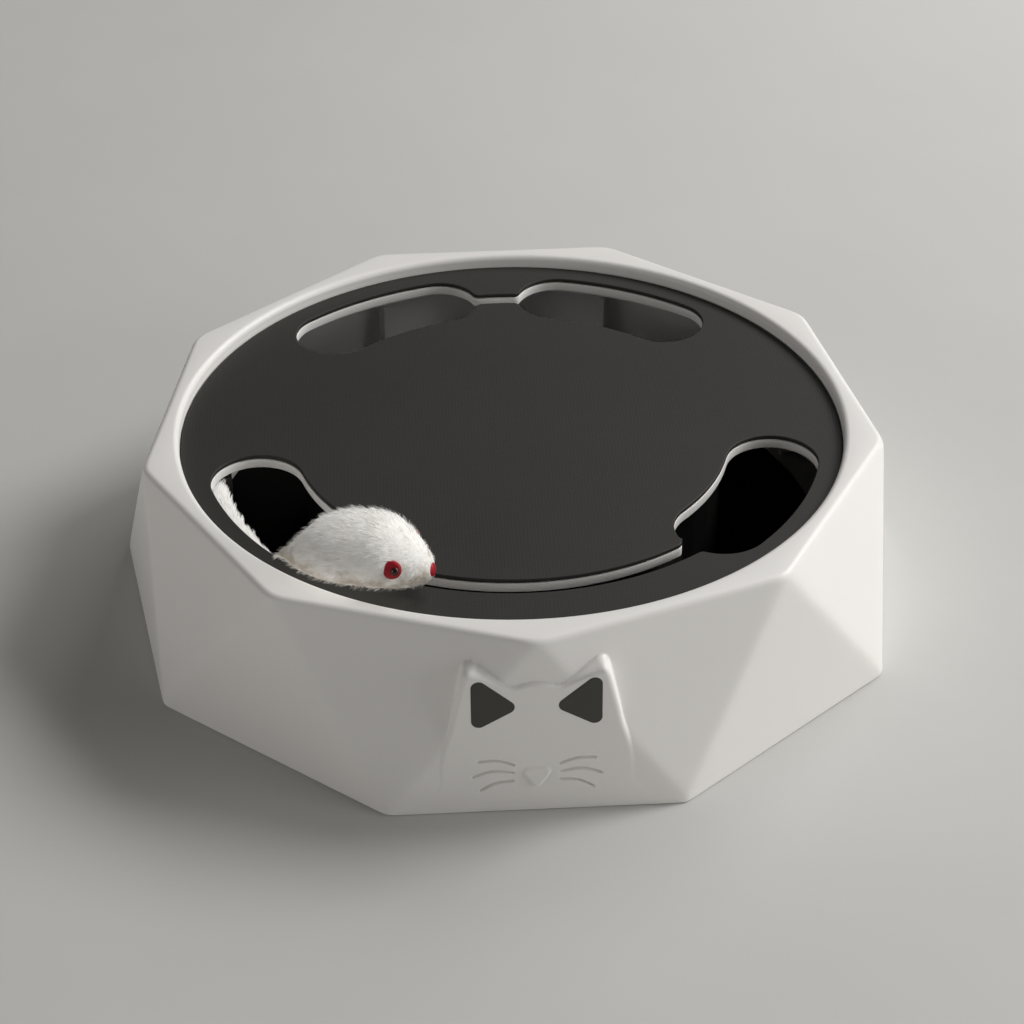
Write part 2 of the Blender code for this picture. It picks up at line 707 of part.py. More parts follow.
def edge_rounds(edge, radius, steps):
    """Planes that touch an arc between an edge's two faces."""
    first, second = (face.normal for face in edge.link_faces)
    centre = edge.verts[0].co - (first + second) * radius / (1 + first.dot(second))
    planes = []
    for step in range(1, steps + 1):
        normal = first.slerp(second, step / (steps + 1))
        planes.append((centre + normal * radius, normal))
    return planes


def housing_body():
    shape = bmesh.new()
    add_antiprism(shape, top_corner_radius, bottom_corner_radius, HOUSING_BOTTOM, housing_top)
    bmesh.ops.recalc_face_normals(shape, faces=shape.faces)
    planes = []
    for edge in shape.edges:
        heights = [vert.co.z for vert in edge.verts]
        if min(heights) > housing_top - MERGE_DISTANCE:
            planes += edge_rounds(edge, RIM_EDGE_RADIUS, 2)
        elif max(heights) < HOUSING_BOTTOM + MERGE_DISTANCE:
            planes += edge_rounds(edge, FOOT_EDGE_RADIUS, 1)
        else:
            planes += edge_rounds(edge, SIDE_EDGE_RADIUS, 1)
    for point, normal in planes:
        keep_inside(shape, point, normal)
    return shape


def housing_cavity():
    """The tub's inside: the same facets set in by the wall, up to the underside of the ledge."""
    shape = bmesh.new()
    inner_bottom = bottom_corner_radius - wall_at_corner
    inner_top = top_corner_radius - wall_at_corner
    spread = OVERRUN / housing_height * (inner_bottom - inner_top)
    add_antiprism(shape, inner_top, inner_bottom + spread, HOUSING_BOTTOM - OVERRUN, housing_top)
    keep_inside(shape, (0, 0, cavity_top), (0, 0, 1))
    return shape


def recess_profile():
    lip_low = housing_top - RIM_LIP
    profile = [(0, cavity_top - OVERRUN), (ledge_radius, cavity_top - OVERRUN), (ledge_radius, ledge_top),
               (recess_radius, ledge_top)]
    for step in range(LIP_STEPS + 1):
        angle = math.pi / 2 * step / LIP_STEPS
        profile.append((rim_inner_radius - RIM_LIP * math.cos(angle), lip_low + RIM_LIP * math.sin(angle)))
    profile.append((rim_inner_radius, housing_top + OVERRUN))
    profile.append((0, housing_top + OVERRUN))
    return profile


def head_frame():
    """The relief's plane: sunk at the chin and proud of the front face at the crown."""
    face_lean = math.atan((bottom_apothem - top_corner_radius) / housing_height)
    lean = face_lean - math.atan((HEAD_PROUD + HEAD_SUNK) / head_height)
    chin = Vector((0, -bottom_apothem + HEAD_START * math.tan(face_lean) + HEAD_SUNK,
                   HOUSING_BOTTOM + HEAD_START))
    up = Vector((0, math.sin(lean), math.cos(lean)))
    outward = Vector((0, -math.cos(lean), math.sin(lean)))
    right = Vector((1, 0, 0))
    rows = (right, up, outward, chin)
    return Matrix([[row[axis] for row in rows] for axis in range(3)] + [[0, 0, 0, 1]])


def head_point(shares):
    return Vector((shares[0] * HEAD_WIDTH / 2, shares[1] * head_height))


def mirrored(shares):
    return [(-share[0], share[1]) for share in shares]


def head_relief():
    shape = bmesh.new()
    outline = [head_point(share) for share in HEAD_OUTLINE_SHARES]
    outline += [head_point(share) for share in reversed(mirrored(HEAD_OUTLINE_SHARES))]
    add_prism(shape, outline, -HEAD_DEPTH, 0)
    front = [edge for edge in shape.edges if all(vert.co.z > -MERGE_DISTANCE for vert in edge.verts)]
    bmesh.ops.bevel(shape, geom=front, offset=HEAD_BEVEL, segments=2, profile=0.5, affect="EDGES")
    shape.transform(head_frame())
    return shape


def ear_shape(side, grow, low, high):
    shape = bmesh.new()
    corners = [head_point((side * share[0], share[1])) for share in EAR_CORNER_SHARES]
    middle = sum(corners, Vector((0, 0))) / len(corners)
    outline = []
    for point in rounded_outline(corners, EAR_ROUNDING, ROUNDING_STEPS):
        outline.append(point + (point - middle).normalized() * grow)
    add_prism(shape, outline, low, high)
    shape.transform(head_frame())
    return shape


def raised_nose():
    shape = bmesh.new()
    corners = [head_point(share) for share in NOSE_CORNER_SHARES]
    add_prism(shape, rounded_outline(corners, NOSE_ROUNDING, ROUNDING_STEPS), -NOSE_PROUD, NOSE_PROUD)
    shape.transform(head_frame())
    return shape


def cavity_reach(height, at_top_corner):
    """Radius of the cavity's wall at a height, in the direction of a top or a bottom corner."""
    flattening = math.cos(side_angle / 2)
    low = bottom_corner_radius - wall_at_corner
    high = top_corner_radius - wall_at_corner
    if at_top_corner:
        low *= flattening
    else:
        high *= flattening
    return low + (height - HOUSING_BOTTOM) / housing_height * (high - low)


def add_fin(shape, start, low, high, at_top_corner, angle):
    """A thin upright fin from a radius out into the leaning wall."""
    bite = WALL / 2
    corners = ((start, low), (cavity_reach(low, at_top_corner) + bite, low),
               (cavity_reach(high, at_top_corner) + bite, high), (start, high))
    verts = add_prism(shape, corners, -RIB_THICKNESS / 2, RIB_THICKNESS / 2)
    turn(shape, verts, math.pi / 2, "X")
    turn(shape, verts, angle)


def boss_angles():
    return [FRONT_ANGLE + side_angle * (index + 1 / 2) for index in range(SIDES) if index % BOSS_PITCH]


def make_housing(finish, frame):
    housing = add_object("housing", housing_body(), finish, frame)
    fuse(housing, "head", head_relief())
    fuse(housing, "nose", raised_nose())
    for side, name in ((-1, "left"), (1, "right")):
        pocket = ear_shape(side, SEAT_GAP, -EAR_INLAY_THICKNESS - SEAT_GAP, OVERRUN)
        cut(housing, "ear_pocket_" + name, pocket)
    cut(housing, "cavity", housing_cavity())
    recess = bmesh.new()
    add_turned(recess, recess_profile(), DECK_FACETS)
    cut(housing, "recess", recess)
    fin_low = base_top + SEAT_GAP
    ribs = bmesh.new()
    for index in range(SIDES):
        start = cavity_reach(housing_top, True) - RIB_DEPTH
        add_fin(ribs, start, fin_low, cavity_top - RIB_SETBACK, True, FRONT_ANGLE + index * side_angle)
    fuse(housing, "ribs", ribs)
    webs = bmesh.new()
    bosses = bmesh.new()
    holes = bmesh.new()
    for angle in boss_angles():
        add_fin(webs, boss_circle + BOSS_RADIUS / 2, fin_low, fin_low + BOSS_HEIGHT / 2, False, angle)
        place = polar(boss_circle, angle)
        add_cylinder(bosses, BOSS_RADIUS, fin_low, fin_low + BOSS_HEIGHT, place)
        add_screw_hole(holes, fin_low - OVERRUN, BASE_BOTTOM + BASE_SCREW_LENGTH + OVERRUN * 2, place)
    fuse(housing, "boss_webs", webs)
    fuse(housing, "bosses", bosses)
    cut(housing, "boss_holes", holes)


def make_ear_inlays(finish, frame):
    for side, name in ((-1, "left"), (1, "right")):
        add_object("ear_inlay_" + name, ear_shape(side, 0, -EAR_INLAY_THICKNESS, 0), finish, frame)


def deck_disc(low, high):
    shape = bmesh.new()
    add_prism(shape, arc((0, 0), deck_radius, 0, 2 * math.pi, DECK_FACETS)[:-1], low, high)
    return shape


def cut_openings(piece, low, high):
    for name, outline in (("front_opening", front_opening()), ("rear_opening", rear_opening())):
        shape = bmesh.new()
        add_prism(shape, outline, low - OVERRUN, high + OVERRUN)
        cut(piece, name, shape)


def make_deck(plate_finish, mat_finish, guard_finish, screw_finish, frame):
    plate = add_object("deck_plate", deck_disc(plate_bottom, plate_top), plate_finish, frame)
    cut_openings(plate, plate_bottom, plate_top)
    head_bottom = plate_top - SCREW_HEAD_HEIGHT - SEAT_GAP
    hole = bmesh.new()
    head_hole = DECK_SCREW_HEAD_RADIUS + SEAT_GAP
    add_turned(hole, ((0, plate_bottom - OVERRUN), (screw_hole, plate_bottom - OVERRUN),
                      (screw_hole, head_bottom - SEAT_GAP), (head_hole, head_bottom - SEAT_GAP),
                      (head_hole, plate_top + OVERRUN), (0, plate_top + OVERRUN)), SCREW_FACETS)
    cut(plate, "screw_hole", hole)
    mat = add_object("deck_mat", deck_disc(mat_bottom, mat_top), mat_finish, frame)
    cut_openings(mat, mat_bottom, mat_top)
    screw = bmesh.new()
    add_screw(screw, DECK_SCREW_HEAD_RADIUS, head_bottom, DECK_SCREW_LENGTH)
    add_object("deck_screw", screw, screw_finish, frame)
    guard_outer = slot_inner - GUARD_INSET
    first = FRONT_ANGLE - GUARD_HALF_ANGLE
    last = FRONT_ANGLE + GUARD_HALF_ANGLE
    outline = arc((0, 0), guard_outer, first, last, GUARD_STEPS)
    outline += arc((0, 0), guard_outer - GUARD_THICKNESS, last, first, GUARD_STEPS)
    guard = bmesh.new()
    add_prism(guard, outline, plate_bottom - SEAT_GAP - GUARD_DEPTH, plate_bottom - SEAT_GAP)
    add_object("slot_guard", guard, guard_finish, frame)


def foot_places():
    places = [Vector((0, 0))]
    for index in range(OUTER_FEET):
        places.append(polar(foot_circle, FIRST_FOOT_ANGLE + 2 * math.pi * index / OUTER_FEET))
    return places


def column_places():
    places = []
    for x in (case_left + CASE_COLUMN_INSET, case_right - CASE_COLUMN_INSET):
        for y in (case_front + CASE_COLUMN_INSET, case_rear - CASE_COLUMN_INSET):
            places.append(Vector((x, y)))
    return places


def pillar_places():
    places = []
    for side in (-1, 1):
        for end in (-1, 1):
            places.append(Vector((board_x + side * (BOARD_WIDTH / 2 - PILLAR_INSET),
                                  board_y + end * (BOARD_LENGTH / 2 - PILLAR_INSET))))
    return places


def make_base_plate(finish, frame):
    shape = bmesh.new()
    base_radius = cavity_reach(base_top, False) - BASE_CLEARANCE
    outline = [polar(base_radius, FRONT_ANGLE + side_angle * (index + 1 / 2)) for index in range(SIDES)]
    add_prism(shape, outline, BASE_BOTTOM, base_top)
    plate = add_object("base_plate", shape, finish, frame)
    box = bmesh.new()
    add_box(box, -box_half_length - BOX_WALL, box_half_length + BOX_WALL, box_start - BOX_WALL,
            box_end + BOX_WALL, base_top - SEAT_GAP, box_ceiling + BOX_WALL)
    fuse(plate, "battery_box", box)
    room = bmesh.new()
    add_box(room, -box_half_length, box_half_length, box_start, box_end, BASE_BOTTOM - OVERRUN, box_ceiling)
    cut(plate, "battery_room", room)
    notch = bmesh.new()
    add_box(notch, -LATCH_WIDTH / 2 - DOOR_GAP, LATCH_WIDTH / 2 + DOOR_GAP, box_end - OVERRUN,
            box_end + LATCH_LENGTH + DOOR_GAP, BASE_BOTTOM - OVERRUN,
            BASE_BOTTOM + LATCH_THICKNESS + DOOR_GAP)
    cut(plate, "latch_notch", notch)
    pillars = bmesh.new()
    for place in pillar_places():
        verts = add_ring(pillars, screw_hole, PILLAR_RADIUS, base_top - SEAT_GAP, base_top + BOARD_LIFT,
                         SCREW_FACETS)
        move(pillars, verts, (place.x, place.y, 0))
    fuse(plate, "board_pillars", pillars)
    recesses = bmesh.new()
    for place in foot_places():
        add_cylinder(recesses, FOOT_RADIUS + SEAT_GAP, BASE_BOTTOM - OVERRUN, BASE_BOTTOM + FOOT_RECESS,
                     place, FOOT_FACETS)
    cut(plate, "foot_recesses", recesses)
    screws = bmesh.new()
    seat = BASE_BOTTOM + SCREW_HEAD_HEIGHT + SEAT_GAP
    places = [polar(boss_circle, angle) for angle in boss_angles()] + column_places()
    for place in places:
        profile = ((0, BASE_BOTTOM - OVERRUN), (screw_head_hole, BASE_BOTTOM - OVERRUN),
                   (screw_head_hole, seat), (screw_hole, seat), (screw_hole, base_top + OVERRUN),
                   (0, base_top + OVERRUN))
        verts = add_turned(screws, profile, SCREW_FACETS)
        move(screws, verts, (place.x, place.y, 0))
    cut(plate, "screw_holes", screws)
    slot = bmesh.new()
    half_slot = (KNOB_LENGTH + SWITCH_TRAVEL) / 2 + DOOR_GAP
    add_box(slot, switch_x - half_slot, switch_x + half_slot, switch_y - KNOB_WIDTH / 2 - DOOR_GAP,
            switch_y + KNOB_WIDTH / 2 + DOOR_GAP, BASE_BOTTOM - OVERRUN, base_top + OVERRUN)
    cut(plate, "switch_slot", slot)


def make_feet(finish, frame):
    for index, place in enumerate(foot_places()):
        shape = bmesh.new()
        add_cylinder(shape, FOOT_RADIUS, 0, BASE_BOTTOM + FOOT_RECESS - SEAT_GAP, place, FOOT_FACETS)
        add_object("foot_" + str(index + 1), shape, finish, frame)


def case_outline(inset):
    corners = ((case_left + inset, case_front + inset), (case_right - inset, case_front + inset),
               (case_right - inset, case_rear - inset), (case_left + inset, case_rear - inset))
    return rounded_outline(corners, CASE_CORNER - inset, ROUNDING_STEPS)


def motor_outline(grow):
    """A round can with two flats."""
    radius = MOTOR_RADIUS + grow
    flat = MOTOR_HALF_FLAT + grow
    reach = math.asin(flat / radius)
    outline = arc(motor_centre, radius, -reach, reach, CAP_STEPS)
    outline += arc(motor_centre, radius, math.pi - reach, math.pi + reach, CAP_STEPS)
    return outline


def make_gear_case(finish, frame):
    shape = bmesh.new()
    add_prism(shape, case_outline(0), case_bottom, case_rim)
    tub = add_object("gear_case_tub", shape, finish, frame)
    room = bmesh.new()
    add_prism(room, case_outline(CASE_WALL), case_bottom + CASE_FLOOR, case_rim + OVERRUN)
    cut(tub, "room", room)
    columns = bmesh.new()
    for place in column_places():
        add_cylinder(columns, CASE_COLUMN_RADIUS, case_bottom + CASE_FLOOR / 2, case_rim, place)
    fuse(tub, "columns", columns)
    seat = bmesh.new()
    add_prism(seat, motor_outline(0), case_bottom + CASE_FLOOR / 2, motor_cap_bottom - SEAT_GAP)
    fuse(tub, "motor_seat", seat)
    relief = bmesh.new()
    room_low = motor_cap_bottom - TERMINAL_LENGTH - SEAT_GAP * 2
    add_prism(relief, motor_outline(-MOTOR_SEAT_WALL), room_low, motor_cap_bottom)
    cut(tub, "terminal_room", relief)
    holes = bmesh.new()
    for place in column_places():
        add_screw_hole(holes, case_bottom - OVERRUN, BASE_BOTTOM + MOUNT_SCREW_LENGTH + OVERRUN * 2, place)
        add_screw_hole(holes, chamber_top - CASE_SCREW_LENGTH - OVERRUN, case_rim + OVERRUN, place)
    cut(tub, "screw_holes", holes)

    shape = bmesh.new()
    add_prism(shape, case_outline(0), motor_plate_bottom, chamber_bottom)
    plate = add_object("motor_plate", shape, finish, frame)
    bosses = bmesh.new()
    for place in (gear_a_centre, gear_b_centre):
        add_cylinder(bosses, AXLE_BOSS_RADIUS, motor_plate_bottom - AXLE_BOSS_LENGTH,
                     motor_plate_bottom + SEAT_GAP, place)
    fuse(plate, "axle_bosses", bosses)
    holes = bmesh.new()
    for place in (gear_a_centre, gear_b_centre):
        add_cylinder(holes, axle_bore, motor_plate_bottom - AXLE_BOSS_LENGTH - OVERRUN,
                     chamber_bottom + OVERRUN, place)
    add_cylinder(holes, MOTOR_BOSS_RADIUS + SEAT_GAP, motor_plate_bottom - OVERRUN, chamber_bottom + OVERRUN,
                 motor_centre)
    for place in column_places():
        add_screw_hole(holes, motor_plate_bottom - OVERRUN, chamber_bottom + OVERRUN, place)
    cut(plate, "holes", holes)

    cover_bottom = chamber_bottom + SEAT_GAP
    shape = bmesh.new()
    add_prism(shape, case_outline(0), cover_bottom, cover_top)
    cover = add_object("gear_case_cover", shape, finish, frame)
    room = bmesh.new()
    add_prism(room, case_outline(CASE_WALL), cover_bottom - OVERRUN, chamber_top)
    cut(cover, "room", room)
    columns = bmesh.new()
    for place in column_places():
        add_cylinder(columns, CASE_COLUMN_RADIUS, cover_bottom, chamber_top + COVER_THICKNESS / 2, place)
    fuse(cover, "columns", columns)
    post = bmesh.new()
    root = chamber_top + COVER_THICKNESS / 2
    shoulder = drum_top + POST_STEP
    tip = plate_bottom - SEAT_GAP
    add_turned(post, ((0, root), (POST_RADIUS, root), (POST_RADIUS, shoulder), (POST_TIP_RADIUS, shoulder),
                      (POST_TIP_RADIUS, tip), (0, tip)), MEDIUM_FACETS)
    fuse(cover, "post", post)
    holes = bmesh.new()
    head_seat = cover_top - SCREW_HEAD_HEIGHT - SEAT_GAP * 2
    for place in column_places():
        low = cover_bottom - OVERRUN
        high = cover_top + OVERRUN
        profile = ((0, low), (screw_hole, low), (screw_hole, head_seat), (screw_head_hole, head_seat),
                   (screw_head_hole, high), (0, high))
        verts = add_turned(holes, profile, SCREW_FACETS)
        move(holes, verts, (place.x, place.y, 0))
    add_cylinder(holes, axle_bore, chamber_top - OVERRUN, cover_top + OVERRUN, gear_a_centre)
    add_cylinder(holes, output_tip_radius + CASE_ROOM, chamber_top - OVERRUN, cover_top + OVERRUN,
                 gear_b_centre, MEDIUM_FACETS)
    deck_screw_end = plate_top - SCREW_HEAD_HEIGHT - SEAT_GAP - DECK_SCREW_LENGTH
    add_screw_hole(holes, deck_screw_end - OVERRUN, plate_bottom + OVERRUN)
    cut(cover, "holes", holes)


def make_motor(can_finish, cap_finish, frame):
    shape = bmesh.new()
    add_prism(shape, motor_outline(0), motor_can_bottom, motor_can_top)
    can = add_object("motor_can", shape, can_finish, frame)
    boss = bmesh.new()
    add_cylinder(boss, MOTOR_BOSS_RADIUS, motor_can_top - SEAT_GAP, chamber_bottom - SEAT_GAP, motor_centre,
                 MEDIUM_FACETS)
    fuse(can, "boss", boss)
    bore = bmesh.new()
    add_cylinder(bore, MOTOR_SHAFT_RADIUS + RUNNING_GAP, chamber_bottom - SEAT_GAP - MOTOR_BORE_DEPTH,
                 chamber_bottom + OVERRUN, motor_centre)
    cut(can, "bore", bore)
    shape = bmesh.new()
    add_prism(shape, motor_outline(-SEAT_GAP), motor_cap_bottom, motor_cap_top)
    cap = add_object("motor_end_cap", shape, cap_finish, frame)
    terminals = bmesh.new()
    for side in (-1, 1):
        middle = motor_centre.x + side * MOTOR_RADIUS / 2
        add_box(terminals, middle - TERMINAL_THICKNESS / 2, middle + TERMINAL_THICKNESS / 2,
                motor_centre.y - TERMINAL_WIDTH / 2, motor_centre.y + TERMINAL_WIDTH / 2,
                motor_cap_bottom - TERMINAL_LENGTH, motor_cap_bottom + SEAT_GAP)
    fuse(cap, "terminals", terminals)


def gear_outline(module, teeth, addendum, dedendum, phase, flank_radii):
    """A spur gear's outline with involute flanks, read at a few radii from root to tip."""
    pitch = module * teeth / 2
    base = pitch * math.cos(PRESSURE_ANGLE)
    involute = math.tan(PRESSURE_ANGLE) - PRESSURE_ANGLE
    half_pitch = math.pi / (2 * teeth) - BACKLASH_SHARE / teeth
    radii = [pitch - module * dedendum]
    radii += [base + share * (pitch + module * addendum - base) for share in flank_radii]
    radii.append(pitch + module * addendum)
    flank = []
    for radius in radii:
        slope = math.acos(min(1.0, base / radius))
        flank.append((radius, half_pitch + involute - (math.tan(slope) - slope)))
    outline = []
    for tooth in range(teeth):
        middle = phase + 2 * math.pi * tooth / teeth
        outline += [polar(radius, middle - half) for radius, half in flank]
        outline += [polar(radius, middle + half) for radius, half in reversed(flank)]
    return outline


def mesh_phase(direction, teeth, phase, mate_teeth):
    """The phase of a mate whose tooth space meets this gear's tooth along a direction."""
    position = (direction - phase) * teeth / (2 * math.pi)
    return direction + math.pi - (0.5 - position) * 2 * math.pi / mate_teeth


def cut_web(piece, root_radius, hub_radius, face, facing):
    """A recess in one face of a wheel, between its rim and its hub; facing 1 is a top face."""
    web = bmesh.new()
    low, high = sorted((face - facing * WEB_RECESS, face + facing * OVERRUN))
    add_ring(web, hub_radius, root_radius - WEB_RIM, low, high, MEDIUM_FACETS)
    cut(piece, "web", web)


def make_compound(name, frame, finish, low, wheel_low, high, wheel_phase, pinion):
    """A compound gear: a wheel and a pinion in one, on a plain hub and a bore for its axle."""
    pinion_outline, pinion_top_radius = pinion
    wheel_high = wheel_low + WHEEL_WIDTH
    shape = bmesh.new()
    wheel = gear_outline(FINE_MODULE, WHEEL_TEETH, FINE_WHEEL_ADDENDUM_SHARE, FINE_WHEEL_DEDENDUM_SHARE,
                         wheel_phase, WHEEL_FLANK_SHARES)
    add_prism(shape, wheel, wheel_low, wheel_high)
    gear = add_object(name, shape, finish, frame)
    root = wheel_pitch_radius - FINE_MODULE * FINE_WHEEL_DEDENDUM_SHARE
    cut_web(gear, root, pinion_top_radius + WEB_HUB / 2, wheel_high, 1)
    small = bmesh.new()
    add_prism(small, pinion_outline, wheel_high - SEAT_GAP, high)
    fuse(gear, "pinion", small)
    if wheel_low > low:
        hub = bmesh.new()
        add_cylinder(hub, hub_radius, low, wheel_low + SEAT_GAP)
        fuse(gear, "hub", hub)
    bore = bmesh.new()
    add_cylinder(bore, axle_bore, low - OVERRUN, high + OVERRUN)
    cut(gear, "bore", bore)


def fine_pinion(phase):
    return gear_outline(FINE_MODULE, PINION_TEETH, FINE_PINION_ADDENDUM_SHARE, FINE_PINION_DEDENDUM_SHARE,
                        phase, PINION_FLANK_SHARES)


def make_gears(finish, brass, steel, nylon, base, turntable):
    """The train from the drive gear back to the motor, each gear in mesh with the last."""
    drive_phase = 0
    output_phase = mesh_phase(GEAR_B_ANGLE, DRIVE_TEETH, drive_phase, OUTPUT_PINION_TEETH)
    wheel_b_phase = 0
    pinion_a_phase = mesh_phase(GEAR_A_ANGLE, WHEEL_TEETH, wheel_b_phase, PINION_TEETH)
    wheel_a_phase = 0
    motor_phase = mesh_phase(MOTOR_ANGLE, WHEEL_TEETH, wheel_a_phase, PINION_TEETH)

    shape = bmesh.new()
    drive = gear_outline(DRIVE_MODULE, DRIVE_TEETH, DRIVE_ADDENDUM_SHARE, DRIVE_DEDENDUM_SHARE, drive_phase,
                         WHEEL_FLANK_SHARES)
    add_prism(shape, drive, drive_gear_bottom, drive_gear_top)
    gear = add_object("drive_gear", shape, finish, turntable)
    bore = bmesh.new()
    add_cylinder(bore, POST_RADIUS + RUNNING_GAP, drive_gear_bottom - OVERRUN, drive_gear_top + OVERRUN,
                 facets=MEDIUM_FACETS)
    for place in hub_screw_places():
        add_screw_hole(bore, drive_gear_bottom - OVERRUN, drive_gear_top + OVERRUN, place)
    cut(gear, "bores", bore)
    root = drive_pitch_radius - DRIVE_MODULE * DRIVE_DEDENDUM_SHARE
    cut_web(gear, root, HUB_SCREW_CIRCLE + SCREW_HEAD_RADIUS, drive_gear_bottom, -1)
    washer = bmesh.new()
    add_ring(washer, POST_RADIUS + RUNNING_GAP, POST_RADIUS + WASHER_WIDTH, cover_top + SEAT_GAP, washer_top,
             MEDIUM_FACETS)
    add_object("thrust_washer", washer, nylon, base)

    low = chamber_bottom + SIDE_PLAY
    wheel_b_low = low + WHEEL_WIDTH + GEAR_LAYER_GAP
    gear_b = make_frame("gear_b_axis", (*gear_b_centre, 0))
    output = gear_outline(DRIVE_MODULE, OUTPUT_PINION_TEETH, OUTPUT_PINION_ADDENDUM_SHARE,
                          OUTPUT_PINION_DEDENDUM_SHARE, output_phase, PINION_FLANK_SHARES)
    make_compound("gear_b", gear_b, finish, low, wheel_b_low, drive_gear_top - SIDE_PLAY, wheel_b_phase,
                  (output, output_tip_radius))
    gear_a = make_frame("gear_a_axis", (*gear_a_centre, 0))
    make_compound("gear_a", gear_a, finish, low, low, chamber_top - SIDE_PLAY, wheel_a_phase,
                  (fine_pinion(pinion_a_phase), pinion_pitch_radius + FINE_MODULE))
    motor_axis = make_frame("motor_axis", (*motor_centre, 0))
    shape = bmesh.new()
    add_prism(shape, fine_pinion(motor_phase), low, low + MOTOR_PINION_LENGTH)
    pinion = add_object("motor_pinion", shape, brass, motor_axis)
    bore = bmesh.new()
    add_cylinder(bore, MOTOR_SHAFT_RADIUS + SEAT_GAP, low - OVERRUN, low + MOTOR_PINION_LENGTH + OVERRUN)
    cut(pinion, "bore", bore)
    shaft = bmesh.new()
    add_cylinder(shaft, MOTOR_SHAFT_RADIUS, chamber_bottom - MOTOR_BORE_DEPTH,
                 low + MOTOR_PINION_LENGTH + SIDE_PLAY)
    add_object("motor_shaft", shaft, steel, motor_axis)

    pin_low = motor_plate_bottom - AXLE_BOSS_LENGTH
    for name, place, high in (("axle_a", gear_a_centre, cover_top - SEAT_GAP),
                              ("axle_b", gear_b_centre, drive_gear_top - SIDE_PLAY)):
        shape = bmesh.new()
        add_cylinder(shape, AXLE_RADIUS, pin_low, high, place)
        add_object(name, shape, steel, base)


def hub_screw_places():
    step = 2 * math.pi / HUB_SCREWS
    return [polar(HUB_SCREW_CIRCLE, FRONT_ANGLE + step * index) for index in range(HUB_SCREWS)]


def floor_screw_places():
    circle = drum_radius + DRUM_FLANGE_WIDTH / 2
    return [polar(circle, 2 * math.pi * index / FLOOR_SCREWS) for index in range(FLOOR_SCREWS)]


def make_turntable(finish, frame):
    flange_bottom = track_top + SEAT_GAP
    flange_top = flange_bottom + DRUM_FLANGE_THICKNESS
    flange_radius = drum_radius + DRUM_FLANGE_WIDTH
    bore = POST_RADIUS + RUNNING_GAP
    inner = drum_radius - DRUM_WALL
    shape = bmesh.new()
    profile = ((bore, drum_underside), (inner, drum_underside), (inner, flange_bottom),
               (flange_radius, flange_bottom), (flange_radius, flange_top), (drum_radius, flange_top),
               (drum_radius, drum_top), (bore, drum_top))
    add_turned(shape, profile, DRUM_FACETS, closed=True)
    drum = add_object("turntable_drum", shape, finish, frame)
    holes = bmesh.new()
    for place in hub_screw_places():
        add_screw_hole(holes, drum_underside - OVERRUN, drum_top + OVERRUN, place)
    for place in floor_screw_places():
        add_screw_hole(holes, flange_bottom - OVERRUN, flange_top + OVERRUN, place)
    cut(drum, "holes", holes)
    shape = bmesh.new()
    add_ring(shape, inner, track_floor_radius, track_bottom, track_top, DRUM_FACETS)
    floor = add_object("track_floor", shape, finish, frame)
    holes = bmesh.new()
    for place in floor_screw_places() + post_screw_places():
        add_screw_hole(holes, track_bottom - OVERRUN, track_top + OVERRUN, place)
    cut(floor, "holes", holes)


def post_angle():
    return TAIL_END_ANGLE - (CLAMP_GAP + CLAMP_LENGTH / 2) / tail_run_radius


def post_screw_places():
    middle = polar(tail_run_radius, post_angle())
    along = polar(TAIL_POST_SCREW_PITCH / 2, post_angle() + math.pi / 2)
    return [middle - along, middle + along]


def place_on_track(shape, verts):
    """Built with its length along Y at the run's radius on +X, then turned to the tail's end."""
    move(shape, verts, (tail_run_radius, 0, 0))
    turn(shape, verts, post_angle())


